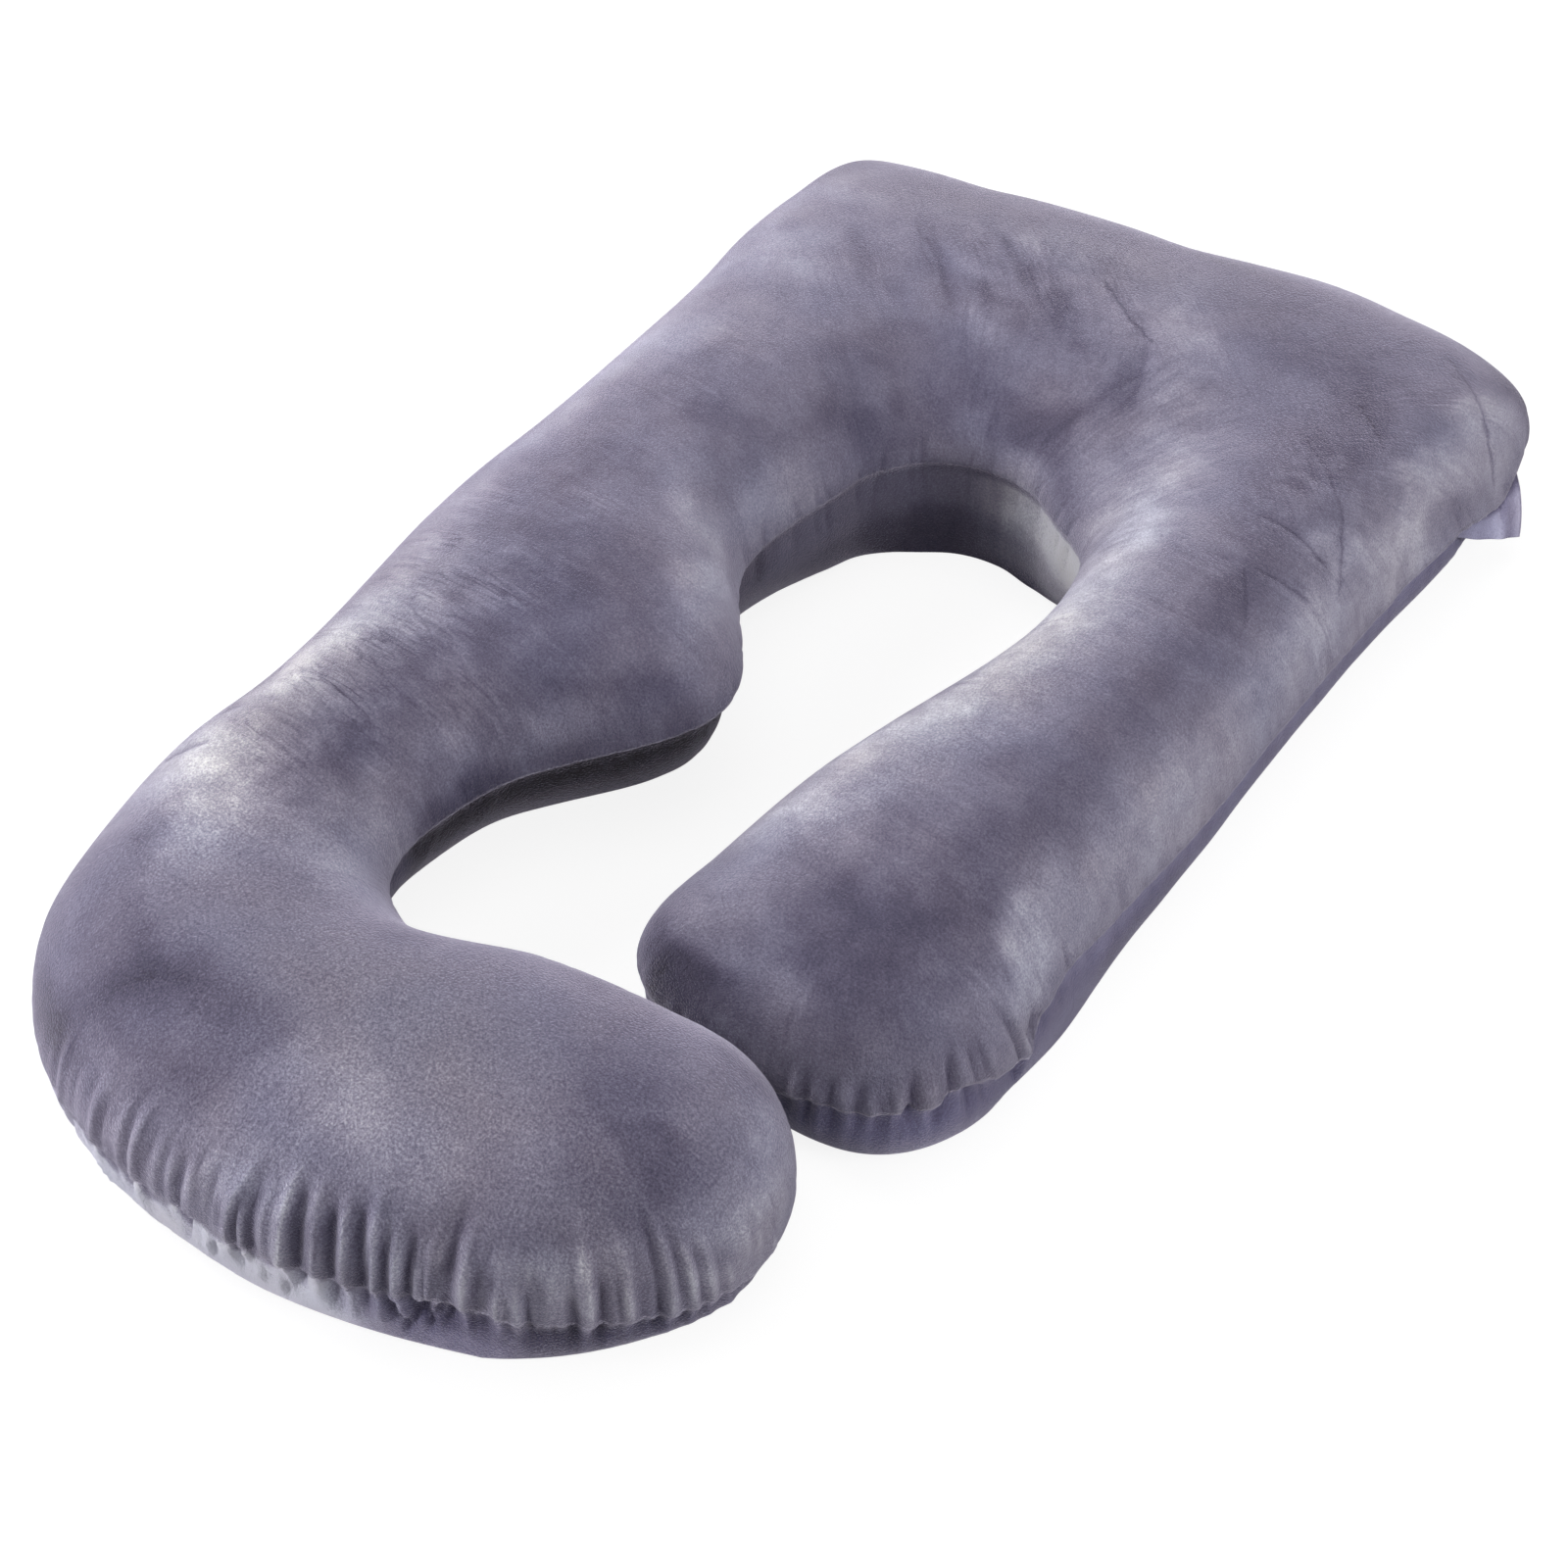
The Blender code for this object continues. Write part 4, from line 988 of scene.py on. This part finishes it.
rim, spine, crown = closedOutline()
seamRow = pillow["baseRows"] + pillow["lowerRows"][0]
points = tuckUnder(straySeam(pillowGrid(rim, spine, crown), seamRow), seamRow)
outwards, folds, foldLines, creases = coverRelief(points, seamRow)
level = napLightAndShadeLevel(points, seamRow, folds, foldLines, creases)
cloth = roundedCloth(points, seamRow)
s, d, length = clothPlaces(points, seamRow)
flank = smoothStep(d[-1] - d, 2.0, 8.0)
points = points + gridNormals(points, d[-1] - d) * (outwards * mm)[..., None]
points[..., 2] = np.maximum(points[..., 2], 0)
print("pillow grid", points.shape, "seam length", round(length, 1))

coverPlush = plushMaterial("cover plush", creased=True)
body = gridMesh("plush_pillow", points, {
    "napLightAndShade": level, "cloth": cloth, "flank": flank, "cool": coolShare(points, s, d, length),
    "stroked": strokeShare(points, d), "grained": grainShare(points)}, coverPlush)
weldSpine(body)
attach(body, "root")
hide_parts("pillow")
print("pillow triangles", sum(len(p.vertices) - 2 for p in body.data.polygons))


# The loose corner of the cover: a sheet sewn in at the seam that hangs to a nearly straight hem
flap = {
    "place": (0.440, 0.5625),  # from and to, y in metres on the straight leg's outer side
    # the hem: share of the width, then x, y, z in cm
    "hem": ((0, 34.1, 44.1, 8.3), (0.2, 34.6, 45.9, 7.0), (0.4, 35.2, 47.6, 5.9), (0.6, 35.8, 49.5, 4.9),
            (0.8, 36.5, 51.6, 3.8), (1.0, 37.0, 53.6, 2.9)),
    # soft folds: share of the width at the seam, how far it slants, half width, height mm
    "folds": ((0.62, 0.08, 0.08, 1.5), (0.80, 0.04, 0.08, -1.2), (0.40, 0.05, 0.10, -0.8)),
    "bow": 0.003,  # how far the middle stands out, metres
    "gap": 0.0012,  # from the seam
    "tone": (0.55, 0.4),  # level between the folds, and painted light on a fold's ridge, painted shade in its valley
    # darker: level, then from and to, as shares of the width or the drop
    "rearDark": (0.5, 0.965, 0.99),
    "pointDark": (0.3, 0.1, 0.35),
    # painted shade under the pillow's brim
    "brimShade": (1.5, 0.08, 0.34),
    "layers": {"flank": 1.0, "stroked": 0.3, "grained": 0.5, "cool": 0.15},
    "grid": (60, 34),
    "thickness": 0.0018,
}


def cornerFlap(points, seamRow, material):
    # across u the seam's own line, down v towards the hem; soft folds fan from the pointed end
    side = (points[seamRow, :, 0] > 0.3) & (points[seamRow, :, 1] > 0.4) & (points[seamRow, :, 1] < 0.6)
    seam = points[seamRow, side]
    columns, down = flap["grid"]
    share = np.linspace(0, 1, columns)
    y = flap["place"][0] + (flap["place"][1] - flap["place"][0]) * share
    top = np.column_stack([np.interp(y, seam[:, 1], seam[:, k]) for k in range(3)])
    rows = np.array(flap["hem"])
    hem = smoothThrough(rows[:, 1:] * cm, rows[:, 0], share)
    ahead = unit(np.gradient(top[:, :2], axis=0))
    out = np.column_stack((ahead[:, 1], -ahead[:, 0]))
    v = np.linspace(0, 1, down)[:, None]
    u = share[None, :]
    fan = u * (0.3 + 0.7 * v)
    fold = smoothStep(u, 0.86, 1.0) + sum(height * np.exp(-((u - place - slant * v) / width) ** 2) * fan
                                          for place, slant, width, height in flap["folds"])
    outward = np.column_stack((out, np.zeros(columns)))
    reach = flap["gap"] * (1 - v) + fold * mm * smoothStep(v, 0.0, 0.3)
    grid = top + (hem - top) * v[..., None] + outward * (reach + flap["bow"] * v * (1 - v) * 4 * u)[..., None]
    sides = np.diff(grid, axis=0)[:, :-1], np.diff(grid, axis=1)[:-1]
    print("flap area cm2", round(float(np.linalg.norm(np.cross(*sides), axis=-1).sum()) * 1e4, 1))
    # darker along the rear end and at the pointed end, painted shade under the pillow's brim, and painted light and
    # shade on the folds
    middle, onFold = flap["tone"]
    rear, point, brim = flap["rearDark"], flap["pointDark"], flap["brimShade"]
    napLightAndShade = middle + onFold * fold - rear[0] * smoothStep(u, *rear[1:]) - point[0] * (1 - smoothStep(u, *point[1:]))
    napLightAndShade = napLightAndShade - brim[0] * (1 - smoothStep(v, *brim[1:])) * smoothStep(u, 0.0, 0.2)
    piece = gridMesh("corner_flap_cloth", grid, {"napLightAndShade": napLightAndShade, **flap["layers"], "cloth": grid}, material, closed=False)
    piece.data.shade_smooth()
    thicken = piece.modifiers.new("thickness", "SOLIDIFY")
    thicken.thickness = flap["thickness"]
    thicken.offset = 0
    return piece


flapPlush = plushMaterial("flap plush", mottling=0.2)
flapCloth = cornerFlap(points, seamRow, flapPlush)
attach(flapCloth, "root")
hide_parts("corner_flap")
print("flap done")


# Floor, light and camera
studio = {
    "azimuth": 35.03, "elevation": 46.95, "distance": 1.8887, "lens": 56.31,
    "lookAt": (0.036, -0.1054, 0.0684),
    # world strength by height: below the horizon, at it, overhead
    "world": ((0.44, 0.06), (0.495, 1.0), (0.54, 1.12), (0.62, 0.95), (0.85, 0.2)),
    "floor": {"Base Color": (0.20, 0.20, 0.20, 1), "Roughness": 1.0, "Emission Color": (1, 1, 1, 1),
              "Emission Strength": 0.86},
    # place, size, power, aim
    "lights": {
        "key": ((-2.4, -0.3, 1.5), 1.6, 80, (0, 0, 0)),
        "fill": ((2.4, 0.2, 1.3), 1.6, 30, (0, 0, 0)),
        "overhead": ((0, 0, 2.8), 2.6, 24, (0, 0, 0)),
        "low left": ((-1.7, -2.0, 0.12), 0.5, 50, (-0.1, -0.55, 0.02)),
    },
}


def addFloor():
    mesh = bpy.data.meshes.new("floor")
    half = 60.0
    mesh.from_pydata([(-half, -half, 0), (half, -half, 0), (half, half, 0), (-half, half, 0)], [], [(0, 1, 2, 3)])
    floor = placed("floor", mesh)
    mesh.materials.append(newMaterial("pale floor", studio["floor"])[0])
    floor.visible_diffuse = False  # its bounce would wash out the undersides


def addLight(name, place, size, power, aim):
    light = bpy.data.lights.new(name, "AREA")
    light.shape = "DISK"
    light.size = size
    light.energy = power
    item = placed(name, light)
    item.location = place
    item.rotation_euler = (Vector(aim) - Vector(place)).to_track_quat("-Z", "Y").to_euler()


def addWorld():
    # strongest round the horizon, as in a light tent, and nearly dark below it
    world = bpy.data.worlds.new("studio")
    bpy.context.scene.world = world
    world.use_nodes = True
    tree = world.node_tree
    direction = put(tree, "ShaderNodeTexCoord").outputs["Generated"]
    upward = put(tree, "ShaderNodeSeparateXYZ", {0: direction}).outputs["Z"]
    height = timesPlus(tree, upward, 0.5, 0.5)
    ramp = put(tree, "ShaderNodeValToRGB", {"Fac": height})
    stops = ramp.color_ramp.elements
    while len(stops) < len(studio["world"]):
        stops.new(0.5)
    for stop, (place, strength) in zip(stops, studio["world"]):
        stop.position = place
        stop.color = (strength,) * 3 + (1,)
    tree.links.new(ramp.outputs["Color"], tree.nodes["Background"].inputs["Color"])


def addCamera():
    turn, tilt = math.radians(studio["azimuth"]), math.radians(studio["elevation"])
    right = Vector((math.cos(turn), math.sin(turn), 0))
    back = Vector((math.sin(turn) * math.cos(tilt), -math.cos(turn) * math.cos(tilt), math.sin(tilt)))
    up = back.cross(right)
    camera = bpy.data.cameras.new("camera")
    camera.sensor_width = 36
    camera.lens = studio["lens"]
    item = placed("camera", camera)
    item.matrix_world = Matrix.Translation(Vector(studio["lookAt"]) + back * studio["distance"]) @ \
        Matrix((right, up, back)).transposed().to_4x4()
    bpy.context.scene.camera = item


addFloor()
for lightName, (place, size, power, aim) in studio["lights"].items():
    addLight(lightName, place, size, power, aim)
addWorld()
bpy.context.scene.view_settings.view_transform = "Standard"
addCamera()
print("floor, light and camera done")
